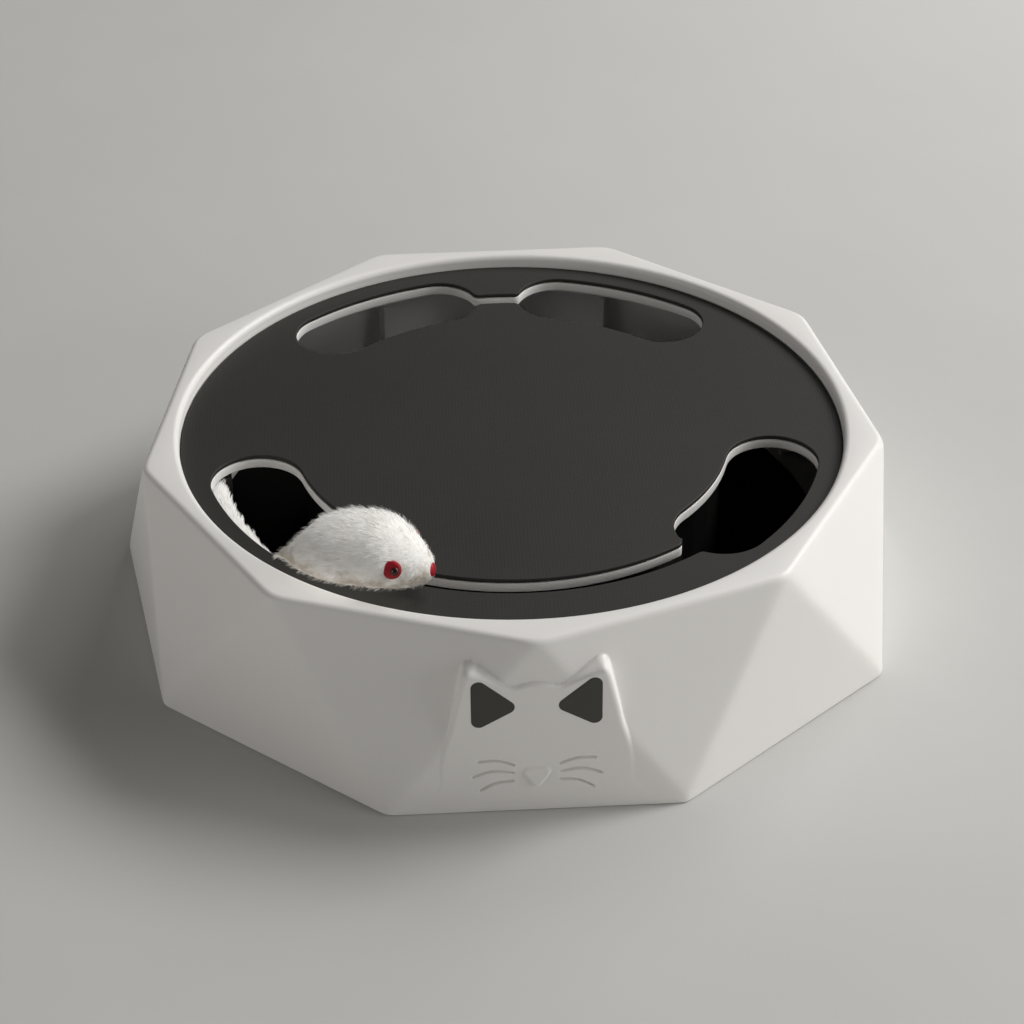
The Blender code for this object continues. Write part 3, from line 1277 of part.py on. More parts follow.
def make_tail_post(finish, screw_finish, wire_finish, frame):
    foot_bottom = track_top + SEAT_GAP
    foot_top = foot_bottom + TAIL_POST_FOOT_HEIGHT
    clamp_bottom = tail_run_height - CLAMP_HEIGHT / 2
    shape = bmesh.new()
    verts = add_box(shape, -TAIL_POST_FOOT_WIDTH / 2, TAIL_POST_FOOT_WIDTH / 2, -TAIL_POST_FOOT_LENGTH / 2,
                    TAIL_POST_FOOT_LENGTH / 2, foot_bottom, foot_top)
    place_on_track(shape, verts)
    post = add_object("tail_post", shape, finish, frame)
    column = bmesh.new()
    verts = add_box(column, -TAIL_POST_WIDTH / 2, TAIL_POST_WIDTH / 2, -TAIL_POST_LENGTH / 2,
                    TAIL_POST_LENGTH / 2, foot_top - SEAT_GAP, clamp_bottom + SEAT_GAP)
    place_on_track(column, verts)
    fuse(post, "column", column)
    block = bmesh.new()
    verts = add_box(block, -CLAMP_WIDTH / 2, CLAMP_WIDTH / 2, -CLAMP_LENGTH / 2, CLAMP_LENGTH / 2,
                    clamp_bottom, clamp_bottom + CLAMP_HEIGHT)
    place_on_track(block, verts)
    fuse(post, "clamp_block", block)
    bore = bmesh.new()
    verts = add_cylinder(bore, WIRE_RADIUS + SEAT_GAP, -CLAMP_LENGTH, CLAMP_LENGTH)
    turn(bore, verts, math.pi / 2, "X")
    move(bore, verts, (0, 0, tail_run_height))
    place_on_track(bore, verts)
    cut(post, "wire_bore", bore)
    holes = bmesh.new()
    for place in post_screw_places():
        add_screw_hole(holes, foot_bottom - OVERRUN, foot_top + OVERRUN, place)
    add_screw_hole(holes, tail_run_height, clamp_bottom + CLAMP_HEIGHT + OVERRUN,
                   polar(tail_run_radius, post_angle()))
    cut(post, "screw_holes", holes)
    shape = bmesh.new()
    head_bottom = clamp_bottom + CLAMP_HEIGHT + SEAT_GAP
    add_screw(shape, SCREW_HEAD_RADIUS, head_bottom, CLAMP_HEIGHT / 2 - WIRE_RADIUS,
              polar(tail_run_radius, post_angle()))
    add_object("clamp_screw", shape, screw_finish, frame)
    shape = bmesh.new()
    verts = add_cylinder(shape, WIRE_RADIUS, 0, WIRE_LENGTH)
    turn(shape, verts, math.pi / 2, "X")
    move(shape, verts, (0, CLAMP_LENGTH / 2 + CLAMP_GAP - SEAT_GAP, tail_run_height))
    place_on_track(shape, verts)
    add_object("tail_wire", shape, wire_finish, frame)


def make_tail(finish, frame):
    """A furry rope: down through the slot's band, then out and back along the track's wall."""
    controls = []
    for out, along, height, swell in TAIL_ROUTE_SHARES:
        radius = slot_middle + out * (tail_run_radius - slot_middle)
        angle = TAIL_CROSSING_ANGLE + along * (TAIL_END_ANGLE - TAIL_CROSSING_ANGLE)
        thin = tail_crossing_radius + along * (TAIL_END_RADIUS - tail_crossing_radius)
        spot = polar(radius, angle)
        controls.append(Vector((spot.x, spot.y, tail_low + height * (tail_high - tail_low),
                                thin + swell * (TAIL_RADIUS - thin))))
    route = smooth_route(controls, TAIL_SUBSTEPS)
    shape = bmesh.new()
    add_tube(shape, [point.xyz for point in route], [point.w for point in route], TAIL_FACETS)
    add_object("mouse_tail", shape, finish, frame)


def mouse_ring_middle(share, half_height, lift):
    spot = mouse_centre + mouse_forward * (share - 0.5) * MOUSE_LENGTH
    return Vector((spot.x, spot.y, mat_top + SEAT_GAP + lift * MOUSE_HEIGHT + half_height))


def mouse_sections():
    """Middle, half width and half height of each ring along the body."""
    sections = []
    for share, width, height, lift in MOUSE_RING_SHARES:
        half_height = height * MOUSE_HEIGHT / 2
        sections.append((mouse_ring_middle(share, half_height, lift), width * MOUSE_WIDTH / 2, half_height))
    return sections


def section_at(share):
    """A section between two rings, by its share of the body's length."""
    rows = MOUSE_RING_SHARES
    for low, high in zip(rows, rows[1:]):
        if low[0] <= share <= high[0]:
            t = (share - low[0]) / (high[0] - low[0])
            width, height, lift = (low[i] + t * (high[i] - low[i]) for i in (1, 2, 3))
            half_height = height * MOUSE_HEIGHT / 2
            return mouse_ring_middle(share, half_height, lift), width * MOUSE_WIDTH / 2, half_height
    raise ValueError("share is off the body")


def eye_frame(side):
    """The eye's axis out of the body, at its place on the head."""
    middle, half_width, half_height = section_at(EYE_STATION_SHARE)
    across = Vector((mouse_forward.y, -mouse_forward.x, 0)) * side
    up = Vector((0, 0, 1))
    surface = middle + across * half_width * math.cos(EYE_TILT) + up * half_height * math.sin(EYE_TILT)
    outward = across * math.cos(EYE_TILT) / half_width + up * math.sin(EYE_TILT) / half_height
    outward = (outward.normalized() + Vector((*mouse_forward, 0)) / 4).normalized()
    return Matrix.Translation(surface) @ outward.to_track_quat("Z", "Y").to_matrix().to_4x4()


def nose_frame():
    middle, _, _ = section_at(MOUSE_RING_SHARES[-1][0])
    forward = Vector((*mouse_forward, 0))
    return Matrix.Translation(middle) @ forward.to_track_quat("Z", "Y").to_matrix().to_4x4()


def make_mouse(fur_finish, red_finish, bead_finish, frame):
    shape = bmesh.new()
    across = Vector((mouse_forward.y, -mouse_forward.x, 0))
    rings = []
    for middle, half_width, half_height in mouse_sections():
        ring = []
        for step in range(MOUSE_RING_FACETS):
            angle = 2 * math.pi * step / MOUSE_RING_FACETS
            offset = across * half_width * math.cos(angle) + Vector((0, 0, half_height * math.sin(angle)))
            ring.append(shape.verts.new(middle + offset))
        rings.append(ring)
    skin_rings(shape, rings)
    body = add_object("mouse_body", shape, fur_finish, frame)
    socket = bmesh.new()
    add_cylinder(socket, tail_crossing_radius + SEAT_GAP, mat_top, tail_high + SEAT_GAP,
                 polar(slot_middle, TAIL_CROSSING_ANGLE))
    cut(body, "tail_socket", socket)
    for side, name in ((1, "right"), (-1, "left")):
        place = eye_frame(side)
        pocket = bmesh.new()
        add_cylinder(pocket, EYE_RADIUS + SEAT_GAP, -EYE_THICKNESS - SEAT_GAP, EYE_RADIUS)
        pocket.transform(place)
        cut(body, "eye_pocket_" + name, pocket)
        eye = bmesh.new()
        profile = ((0, -EYE_THICKNESS), (EYE_RADIUS, -EYE_THICKNESS), (EYE_RADIUS, -EYE_THICKNESS / 2),
                   (EYE_RADIUS * 3 / 4, EYE_THICKNESS / 4), (0, EYE_THICKNESS / 2))
        add_turned(eye, profile, SMALL_FACETS)
        eye.transform(place)
        add_object("mouse_eye_" + name, eye, red_finish, frame)
        bead = bmesh.new()
        bmesh.ops.create_uvsphere(bead, u_segments=SMALL_FACETS, v_segments=SMALL_FACETS // 2,
                                  radius=PUPIL_RADIUS)
        bmesh.ops.bisect_plane(bead, geom=bead.verts[:] + bead.edges[:] + bead.faces[:], dist=MERGE_DISTANCE,
                               plane_co=(0, 0, 0), plane_no=(0, 0, -1), clear_outer=True)
        bmesh.ops.holes_fill(bead, edges=[edge for edge in bead.edges if edge.is_boundary], sides=0)
        move(bead, bead.verts, (0, 0, EYE_THICKNESS / 2 + SEAT_GAP))
        bead.transform(place)
        add_object("mouse_pupil_" + name, bead, bead_finish, frame)
    nose = bmesh.new()
    add_turned(nose, ((0, SEAT_GAP), (NOSE_BUTTON_RADIUS * 3 / 4, SEAT_GAP),
                      (NOSE_BUTTON_RADIUS, NOSE_BUTTON_LENGTH / 3 + SEAT_GAP),
                      (NOSE_BUTTON_RADIUS * 3 / 4, NOSE_BUTTON_LENGTH * 3 / 4 + SEAT_GAP),
                      (0, NOSE_BUTTON_LENGTH + SEAT_GAP)), SMALL_FACETS)
    nose.transform(nose_frame())
    add_object("mouse_nose", nose, red_finish, frame)


def cell_place(index):
    """Middle of a cell in plan height, and the way its nub points."""
    y = box_start + cell_pitch * (index + 1 / 2)
    return y, (1, -1)[index % 2]


def lay_along_x(shape, verts, facing, start, y, height):
    """A piece built up Z, laid to point along X."""
    turn(shape, verts, facing * math.pi / 2, "Y")
    move(shape, verts, (start, y, height))


def make_batteries(cell_finish, contact_finish, frame):
    slack = BOX_SPARE / 4
    plate_top = slack + CONTACT_THICKNESS
    for index in range(CELL_COUNT):
        y, facing = cell_place(index)
        wall = facing * box_half_length
        number = str(index + 1)
        cell = bmesh.new()
        body = CELL_LENGTH - CELL_NUB_LENGTH
        verts = add_turned(cell, ((0, 0), (CELL_RADIUS, 0), (CELL_RADIUS, body), (CELL_NUB_RADIUS, body),
                                  (CELL_NUB_RADIUS, CELL_LENGTH), (0, CELL_LENGTH)), CELL_FACETS)
        lay_along_x(cell, verts, facing, wall - facing * (plate_top + slack + CELL_LENGTH), y, cell_height)
        add_object("battery_cell_" + number, cell, cell_finish, frame)
        flat = bmesh.new()
        verts = add_contact_plate(flat, slack, plate_top)
        lay_along_x(flat, verts, -facing, wall, y, cell_height)
        add_object("flat_contact_" + number, flat, contact_finish, frame)
        sprung = bmesh.new()
        verts = add_contact_plate(sprung, slack, plate_top)
        lay_along_x(sprung, verts, facing, -wall, y, cell_height)
        contact = add_object("spring_contact_" + number, sprung, contact_finish, frame)
        spring = bmesh.new()
        verts = add_spring(spring, plate_top, plate_top + SPRING_LENGTH)
        lay_along_x(spring, verts, facing, -wall, y, cell_height)
        fuse(contact, "spring", spring)


def add_contact_plate(shape, low, high):
    half = CONTACT_WIDTH / 2
    return add_box(shape, -half, half, -half, half, low, high)


def add_spring(shape, low, high):
    """A tapering coil whose first turn is sunk in its plate."""
    points = []
    steps = SPRING_TURNS * SPRING_POINTS_PER_TURN
    for step in range(steps + 1):
        share = step / steps
        radius = SPRING_BASE_RADIUS + share * (SPRING_TIP_RADIUS - SPRING_BASE_RADIUS)
        spot = polar(radius, 2 * math.pi * step / SPRING_POINTS_PER_TURN)
        points.append(Vector((spot.x, spot.y, low + share * (high - SPRING_WIRE_RADIUS - low))))
    return add_tube(shape, points, [SPRING_WIRE_RADIUS] * len(points), SPRING_FACETS)


def make_battery_door(finish):
    """Hooked at its front edge, where the door swings, with a sprung latch at its rear edge."""
    hinge = make_frame("battery_door_hinge", (0, box_start + DOOR_GAP, BASE_BOTTOM))
    shape = bmesh.new()
    depth = box_depth - 2 * DOOR_GAP
    add_box(shape, -box_half_length + DOOR_GAP, box_half_length - DOOR_GAP, 0, depth, 0, DOOR_THICKNESS)
    door = add_object("battery_door", shape, finish, hinge)
    latch = bmesh.new()
    add_box(latch, -LATCH_WIDTH / 2, LATCH_WIDTH / 2, depth - SEAT_GAP, depth + LATCH_LENGTH,
            0, LATCH_THICKNESS)
    fuse(door, "latch", latch)
    grip = bmesh.new()
    for index in range(GRIP_GROOVES):
        start = depth - LATCH_LENGTH * (index + 2)
        add_box(grip, -LATCH_WIDTH / 2, LATCH_WIDTH / 2, start, start + LATCH_LENGTH / 3, -OVERRUN,
                DOOR_THICKNESS / 4)
    cut(door, "grip", grip)


def make_board(board_finish, frame):
    shape = bmesh.new()
    add_box(shape, board_x - BOARD_WIDTH / 2, board_x + BOARD_WIDTH / 2, board_y - BOARD_LENGTH / 2,
            board_y + BOARD_LENGTH / 2, board_bottom, board_top)
    board = add_object("control_board", shape, board_finish, frame)
    low = board_top - SEAT_GAP
    parts = bmesh.new()
    add_box(parts, board_x - CHIP_SIZE / 2, board_x + CHIP_SIZE / 2, board_y - CHIP_SIZE / 2,
            board_y + CHIP_SIZE / 2, low, board_top + CHIP_HEIGHT)
    quarter = BOARD_LENGTH / 4
    add_cylinder(parts, CAPACITOR_RADIUS, low, board_top + CAPACITOR_HEIGHT, (board_x, board_y + quarter))
    add_box(parts, board_x - SOCKET_LENGTH / 2, board_x + SOCKET_LENGTH / 2,
            board_y - quarter - SOCKET_WIDTH / 2, board_y - quarter + SOCKET_WIDTH / 2, low,
            board_top + SOCKET_HEIGHT)
    fuse(board, "parts", parts)
    holes = bmesh.new()
    for place in pillar_places():
        add_screw_hole(holes, board_bottom - OVERRUN, board_top + OVERRUN, place)
    cut(board, "holes", holes)


def make_switch(body_finish, knob_finish, frame):
    rest = switch_x - SWITCH_TRAVEL / 2
    body_bottom = base_top + SEAT_GAP
    shape = bmesh.new()
    add_box(shape, switch_x - SWITCH_LENGTH / 2, switch_x + SWITCH_LENGTH / 2, switch_y - SWITCH_WIDTH / 2,
            switch_y + SWITCH_WIDTH / 2, body_bottom, body_bottom + SWITCH_HEIGHT)
    body = add_object("switch_body", shape, body_finish, frame)
    room = bmesh.new()
    half = (STEM_SIZE + SWITCH_TRAVEL) / 2 + SEAT_GAP
    add_box(room, switch_x - half, switch_x + half, switch_y - STEM_SIZE / 2 - SEAT_GAP,
            switch_y + STEM_SIZE / 2 + SEAT_GAP, body_bottom - OVERRUN, body_bottom + STEM_HEIGHT)
    cut(body, "stem_room", room)
    slide = make_frame("switch_slide", (rest, switch_y, 0))
    shape = bmesh.new()
    add_box(shape, -KNOB_LENGTH / 2, KNOB_LENGTH / 2, -KNOB_WIDTH / 2, KNOB_WIDTH / 2,
            BASE_BOTTOM + KNOB_RECESS, base_top)
    knob = add_object("switch_slider", shape, knob_finish, slide)
    stem = bmesh.new()
    add_box(stem, -STEM_SIZE / 2, STEM_SIZE / 2, -STEM_SIZE / 2, STEM_SIZE / 2, base_top - SEAT_GAP,
            body_bottom + STEM_HEIGHT - SEAT_GAP)
    fuse(knob, "stem", stem)


def build():
    clear_scene()
    white = make_finish("white_plastic", (0.80, 0.79, 0.77), 0.45)
    grey = make_finish("grey_plastic", (0.35, 0.35, 0.34), 0.55)
    dark_mat = make_finish("dark_mat", (0.045, 0.043, 0.039), 0.75)
    inlay = make_finish("dark_inlay", (0.05, 0.05, 0.046), 0.6)
    black = make_finish("black_plastic", (0.012, 0.012, 0.012), 0.6)
    natural = make_finish("natural_nylon", (0.75, 0.73, 0.66), 0.5)
    brass = make_finish("brass", (0.70, 0.52, 0.22), 0.3, 1.0)
    steel = make_finish("steel", (0.60, 0.60, 0.60), 0.35, 1.0)
    spring = make_finish("spring_steel", (0.55, 0.55, 0.56), 0.3, 1.0)
    rubber = make_finish("rubber", (0.06, 0.06, 0.06), 0.85)
    cell = make_finish("cell_jacket", (0.10, 0.10, 0.11), 0.4)
    green = make_finish("board_laminate", (0.03, 0.16, 0.07), 0.45)
    fur = make_finish("white_fur", (0.80, 0.78, 0.75), 0.95)
    red = make_finish("red_felt", (0.55, 0.02, 0.04), 0.8)
    bead = make_finish("dark_bead", (0.03, 0.01, 0.01), 0.1)

    base = make_frame("base_frame")
    turntable = make_frame("turntable_axis")
    make_housing(white, base)
    make_ear_inlays(inlay, base)
    make_deck(white, dark_mat, black, steel, base)
    make_base_plate(grey, base)
    make_feet(rubber, base)
    make_gear_case(grey, base)
    make_motor(steel, black, base)
    make_gears(natural, brass, steel, natural, base, turntable)
    make_turntable(black, turntable)
    make_tail_post(black, steel, spring, turntable)
    make_tail(fur, turntable)
    make_mouse(fur, red, bead, turntable)
    make_batteries(cell, spring, base)
    make_battery_door(grey)
    make_board(green, base)
    make_switch(black, black, base)
    weld_seams()


build()
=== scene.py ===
"""Looks of the cat turntable toy: faceted white tub, dark slotted deck and a plush mouse on its tail.

Lengths in this file are in millimetres until a mesh is made, which is in metres.
"""
import math

import bmesh
import bpy
import numpy as np
from mathutils import Matrix, Vector
from mathutils.kdtree import KDTree


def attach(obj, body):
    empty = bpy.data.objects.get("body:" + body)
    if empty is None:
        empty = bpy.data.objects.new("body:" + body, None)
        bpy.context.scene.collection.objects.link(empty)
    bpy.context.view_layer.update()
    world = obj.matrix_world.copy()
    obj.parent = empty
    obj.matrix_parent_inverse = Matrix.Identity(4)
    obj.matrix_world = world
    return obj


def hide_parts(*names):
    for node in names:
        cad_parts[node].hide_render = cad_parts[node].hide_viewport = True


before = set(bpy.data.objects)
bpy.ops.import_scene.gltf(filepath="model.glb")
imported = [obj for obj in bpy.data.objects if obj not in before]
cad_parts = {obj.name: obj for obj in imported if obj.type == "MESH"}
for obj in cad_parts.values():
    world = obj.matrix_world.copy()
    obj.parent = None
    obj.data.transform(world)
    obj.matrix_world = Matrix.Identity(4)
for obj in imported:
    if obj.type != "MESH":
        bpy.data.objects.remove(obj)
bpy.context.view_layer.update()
rng = np.random.default_rng(7)
MM = 0.001

# The tub's sizes, as in the part's source
SIDES = 9
STEP = math.radians(40)
FRONT = math.radians(270)
REAR = math.radians(90)
TUB_TOP = 65.15
TUB_BOTTOM = 1.5
TOP_RADIUS = 130.0
BOTTOM_RADIUS = 142.6
WALL = 2.7
EDGE = 2.6
HALF = math.cos(STEP / 2)
APOTHEM_TOP = TOP_RADIUS * HALF
APOTHEM_BOTTOM = BOTTOM_RADIUS * HALF
INNER_CUT = WALL / HALF
RIM_INNER = APOTHEM_TOP - 3.6
RECESS = RIM_INNER - 2.2
LEDGE_TOP = 55.15
LEDGE_INNER = RECESS - 3.9
CAVITY_TOP = LEDGE_TOP - 2.6
LIP = 2.2
FOOT = 0.15
FOOT_EDGE = 0.5
FIN_LOW = 4.7
FIN_THICKNESS = 1.8
TALL_FIN, LOW_FIN = 40.0, 9.0
BOSS_PROFILE = ((1.6, 4.7), (4.0, 4.7), (4.0, 22.3), (3.6, 22.7), (1.6, 22.7))
MAT_TOP = 60.65
MAT_THICKNESS = 1.5
PLATE_THICKNESS = 3.3
MAT_GAP = 0.3
DECK_RADIUS = RECESS - 0.4


# Materials

def new_material(name):
    material = bpy.data.materials.new(name)
    material.use_nodes = True
    tree = material.node_tree
    return material, tree, tree.nodes["Principled BSDF"]


def add_node(tree, kind, **values):
    node = tree.nodes.new(kind)
    for key, value in values.items():
        if hasattr(node, key):
            setattr(node, key, value)
        else:
            node.inputs[key.replace("_", " ")].default_value = value
    return node


def object_coordinates(tree, scale=(1, 1, 1)):
    source = add_node(tree, "ShaderNodeTexCoord")
    mapping = add_node(tree, "ShaderNodeMapping")
    mapping.inputs["Scale"].default_value = scale
    tree.links.new(source.outputs["Object"], mapping.inputs["Vector"])
    return mapping.outputs["Vector"]


def noise(tree, vector, scale, detail=3.0, roughness=0.55):
    node = add_node(tree, "ShaderNodeTexNoise", Scale=scale, Detail=detail, Roughness=roughness)
    tree.links.new(vector, node.inputs["Vector"])
    return node.outputs["Fac"]


def ramp(tree, value, stops):
    node = add_node(tree, "ShaderNodeValToRGB")
    elements = node.color_ramp.elements
    while len(elements) < len(stops):
        elements.new(0.5)
    for element, (position, color) in zip(elements, stops):
        element.position = position
        element.color = (*color, 1) if len(color) == 3 else color
    tree.links.new(value, node.inputs["Fac"])
    return node.outputs["Color"]


def math_node(tree, operation, first, second):
    node = add_node(tree, "ShaderNodeMath", operation=operation)
    for socket, value in zip(node.inputs, (first, second)):
        if isinstance(value, (int, float)):
            socket.default_value = value
        else:
            tree.links.new(value, socket)
    return node.outputs["Value"]


def bump(tree, shader, height, strength, distance):
    node = add_node(tree, "ShaderNodeBump", Strength=strength, Distance=distance)
    tree.links.new(height, node.inputs["Height"])
    tree.links.new(node.outputs["Normal"], shader.inputs["Normal"])


def grey(value):
    return (value, value, value)


def plastic(name, color, roughness, spread=0.04, grain=0.00003, grain_scale=2600.0, specular=0.5):
    """Moulded plastic: faint colour drift, a fine spark-eroded grain and uneven gloss."""
    material, tree, shader = new_material(name)
    vector = object_coordinates(tree)
    drift = noise(tree, vector, 18.0, 4.0)
    dark = tuple(channel * (1 - spread) for channel in color)
    light = tuple(min(1.0, channel * (1 + spread)) for channel in color)
    tree.links.new(ramp(tree, drift, ((0.3, dark), (0.7, light))), shader.inputs["Base Color"])
    gloss = noise(tree, vector, 60.0, 3.0)
    low = grey(roughness - 0.04)
    high = grey(roughness + 0.05)
    tree.links.new(ramp(tree, gloss, ((0.3, low), (0.7, high))), shader.inputs["Roughness"])
    fine = noise(tree, vector, grain_scale, 2.0)
    bump(tree, shader, fine, 0.5, grain)
    shader.inputs["Specular IOR Level"].default_value = specular
    return material


def mat_material():
    """A thin dark mat with a fine close weave."""
    material, tree, shader = new_material("mat_weave")
    vector = object_coordinates(tree)
    drift = noise(tree, vector, 9.0, 5.0, 0.6)
    speckle = noise(tree, vector, 900.0, 2.0)
    mixed = math_node(tree, "MULTIPLY", drift, 0.7)
    scaled = math_node(tree, "MULTIPLY", speckle, 0.3)
    value = math_node(tree, "ADD", mixed, scaled)
    color = ramp(tree, value, ((0.35, (0.027, 0.026, 0.023)), (0.75, (0.034, 0.033, 0.0295))))
    tree.links.new(color, shader.inputs["Base Color"])
    threads = []
    for direction in "XY":
        wave = add_node(tree, "ShaderNodeTexWave", wave_type="BANDS", bands_direction=direction,
                        Scale=260.0, Distortion=0.4)
        tree.links.new(vector, wave.inputs["Vector"])
        threads.append(wave.outputs["Fac"])
    weave = math_node(tree, "MULTIPLY", *threads)
    relief = math_node(tree, "ADD", weave, math_node(tree, "MULTIPLY", noise(tree, vector, 1500.0, 2.0), 0.6))
    bump(tree, shader, relief, 0.15, 0.00012)
    shader.inputs["Roughness"].default_value = 0.62
    shader.inputs["Specular IOR Level"].default_value = 0.32
    return material


def metal(name, color, roughness):
    """Brushed metal, with lines drawn out along one axis."""
    material, tree, shader = new_material(name)
    vector = object_coordinates(tree, (1, 1, 40))
    lines = noise(tree, vector, 160.0, 4.0, 0.7)
    shader.inputs["Metallic"].default_value = 1.0
    dark = tuple(channel * 0.86 for channel in color)
    tree.links.new(ramp(tree, lines, ((0.3, dark), (0.7, color))), shader.inputs["Base Color"])
    tree.links.new(ramp(tree, lines, ((0.3, grey(roughness - 0.06)), (0.7, grey(roughness + 0.08)))),
                   shader.inputs["Roughness"])
    bump(tree, shader, lines, 0.2, 0.00004)
    return material


def fur_material():
    """White plush, darker low on the mouse where its own shadow falls."""
    belly_height, belly_shade, fade_per_metre = 0.0667, 0.42, 50
    material, tree, shader = new_material("plush_fur")
    vector = object_coordinates(tree)
    tufts = noise(tree, vector, 260.0, 3.0)
    height = add_node(tree, "ShaderNodeSeparateXYZ")
    tree.links.new(vector, height.inputs["Vector"])
    # Painted shade: the colour darkens in a band just above the mat, where the mouse's own shadow falls.
    away = math_node(tree, "ABSOLUTE", math_node(tree, "SUBTRACT", height.outputs["Z"], belly_height), 0)
    faded = math_node(tree, "MULTIPLY", away, fade_per_metre)
    belly_painted_shade = math_node(tree, "MAXIMUM", math_node(tree, "SUBTRACT", belly_shade, faded), 0)
    # The lowest, warm grey stop is the colour of that painted shade.
    color = ramp(tree, math_node(tree, "SUBTRACT", tufts, belly_painted_shade),
                 ((0.06, (0.57, 0.52, 0.45)), (0.3, (0.82, 0.805, 0.775)), (0.7, (0.90, 0.893, 0.875))))
    tree.links.new(color, shader.inputs["Base Color"])
    shader.inputs["Roughness"].default_value = 0.85
    shader.inputs["Specular IOR Level"].default_value = 0.25
    shader.inputs["Sheen Weight"].default_value = 0.25
    shader.inputs["Sheen Roughness"].default_value = 0.6
    return material


def felt_material():
    material, tree, shader = new_material("red_felt")
    vector = object_coordinates(tree)
    fibres = noise(tree, vector, 1400.0, 4.0, 0.7)
    color = ramp(tree, fibres, ((0.25, (0.27, 0.005, 0.012)), (0.75, (0.48, 0.011, 0.024))))
    tree.links.new(color, shader.inputs["Base Color"])
    bump(tree, shader, fibres, 0.6, 0.00015)
    shader.inputs["Roughness"].default_value = 0.5
    shader.inputs["Specular IOR Level"].default_value = 0.35
    return material


def bead_material():
    material, tree, shader = new_material("glass_bead")
    vector = object_coordinates(tree)
    cloud = noise(tree, vector, 300.0, 2.0)
    color = ramp(tree, cloud, ((0.3, (0.016, 0.003, 0.003)), (0.7, (0.05, 0.006, 0.006))))
    tree.links.new(color, shader.inputs["Base Color"])
    shader.inputs["Roughness"].default_value = 0.22
    return material


def board_material():
    material, tree, shader = new_material("board_laminate")
    vector = object_coordinates(tree)
    tracks = add_node(tree, "ShaderNodeTexBrick", Scale=220.0)
    tracks.inputs["Color1"].default_value = (0.016, 0.11, 0.045, 1)
    tracks.inputs["Color2"].default_value = (0.022, 0.14, 0.06, 1)
    tracks.inputs["Mortar"].default_value = (0.06, 0.26, 0.12, 1)
    tracks.inputs["Mortar Size"].default_value = 0.012
    tree.links.new(vector, tracks.inputs["Vector"])
    tree.links.new(tracks.outputs["Color"], shader.inputs["Base Color"])
    shader.inputs["Roughness"].default_value = 0.35
    bump(tree, shader, noise(tree, vector, 900.0, 2.0), 0.3, 0.00005)
    return material


def floor_material():
    material, tree, shader = new_material("floor")
    vector = object_coordinates(tree)
    cloud = noise(tree, vector, 2.2, 5.0, 0.6)
    tree.links.new(ramp(tree, cloud, ((0.3, (0.595, 0.59, 0.571)), (0.7, (0.65, 0.645, 0.626)))),
                   shader.inputs["Base Color"])
    shader.inputs["Roughness"].default_value = 0.85
    shader.inputs["Specular IOR Level"].default_value = 0.2
    return material


WHITE = plastic("white_shell", (0.90, 0.882, 0.858), 0.40, 0.012)
GREY = plastic("grey_shell", (0.42, 0.42, 0.41), 0.55, 0.04, 0.00005, 1800.0)
BLACK = plastic("black_shell", (0.011, 0.011, 0.0105), 0.62, 0.10, 0.00005, 1800.0)
INLAY = plastic("ear_inlay", (0.050, 0.049, 0.043), 0.55, 0.05, 0.00004, 2200.0)
NYLON = plastic("gear_nylon", (0.72, 0.70, 0.62), 0.42, 0.03)
RUBBER = plastic("foot_rubber", (0.03, 0.03, 0.03), 0.8, 0.12, 0.00008, 1400.0)
JACKET = plastic("cell_jacket", (0.05, 0.055, 0.07), 0.30, 0.06)
# Black plastic of the drum and track floor, made darker than plastic can be: painted shade for the unlit
# hollow seen through the openings.
BLACK_AND_PAINTED_SHADE = plastic("track_black_and_shade", (0.0022, 0.0022, 0.0021), 0.85, 0.3, 0.00005, 1800.0, specular=0.08)
MAT = mat_material()
STEEL = metal("plated_steel", (0.62, 0.62, 0.63), 0.30)
BRASS = metal("brass", (0.75, 0.56, 0.26), 0.30)
FUR = fur_material()
FELT = felt_material()
BEAD = bead_material()
LAMINATE = board_material()
FLOOR = floor_material()


# Mesh helpers

def make_object(name, verts, faces, material, sharp=None):
    """A smooth-shaded piece from millimetre points; edges over the sharp angle stay sharp."""
    mesh = bpy.data.meshes.new(name)
    mesh.from_pydata((np.asarray(verts, dtype=float) * MM).tolist(), [], [tuple(face) for face in faces])
    mesh.validate()
    mesh.update()
    mesh.shade_smooth()
    if sharp:
        mesh.set_sharp_from_angle(angle=math.radians(sharp))
    mesh.materials.append(material)
    piece = bpy.data.objects.new(name, mesh)
    bpy.context.scene.collection.objects.link(piece)
    return piece


def grid_faces(rows, columns, closed):
    """Quads of a grid stored row by row; closed joins the last column to the first."""
    faces = []
    for row in range(rows - 1):
        low = row * columns
        high = low + columns
        for column in range(columns if closed else columns - 1):
            after = (column + 1) % columns
            faces.append((low + column, low + after, high + after, high + column))
    return faces


def capped_faces(rows, columns):
    """Quads of a closed grid and a face over each end."""
    faces = grid_faces(rows, columns, True)
    faces.append(tuple(range(columns))[::-1])
    faces.append(tuple(range((rows - 1) * columns, rows * columns)))
    return faces


def fix_normals(piece):
    shape = bmesh.new()
    shape.from_mesh(piece.data)
    bmesh.ops.recalc_face_normals(shape, faces=shape.faces)
    shape.to_mesh(piece.data)
    shape.free()


def smooth_step(value):
    value = np.clip(value, 0, 1)
    return value * value * (3 - 2 * value)


def polar(radius, angle):
    return np.array((radius * math.cos(angle), radius * math.sin(angle)))


def unit(vectors):
    return vectors / np.linalg.norm(vectors, axis=1, keepdims=True)


def catmull_rom(before, here, there, beyond, share):
    """A point between here and there on the curve through all four."""
    return 0.5 * (2 * here + (there - before) * share
                  + (2 * before - 5 * here + 4 * there - beyond) * share ** 2
                  + (3 * here - before - 3 * there + beyond) * share ** 3)


# The tub

def wall_rise(z):
    return (z - TUB_BOTTOM) / (TUB_TOP - TUB_BOTTOM)


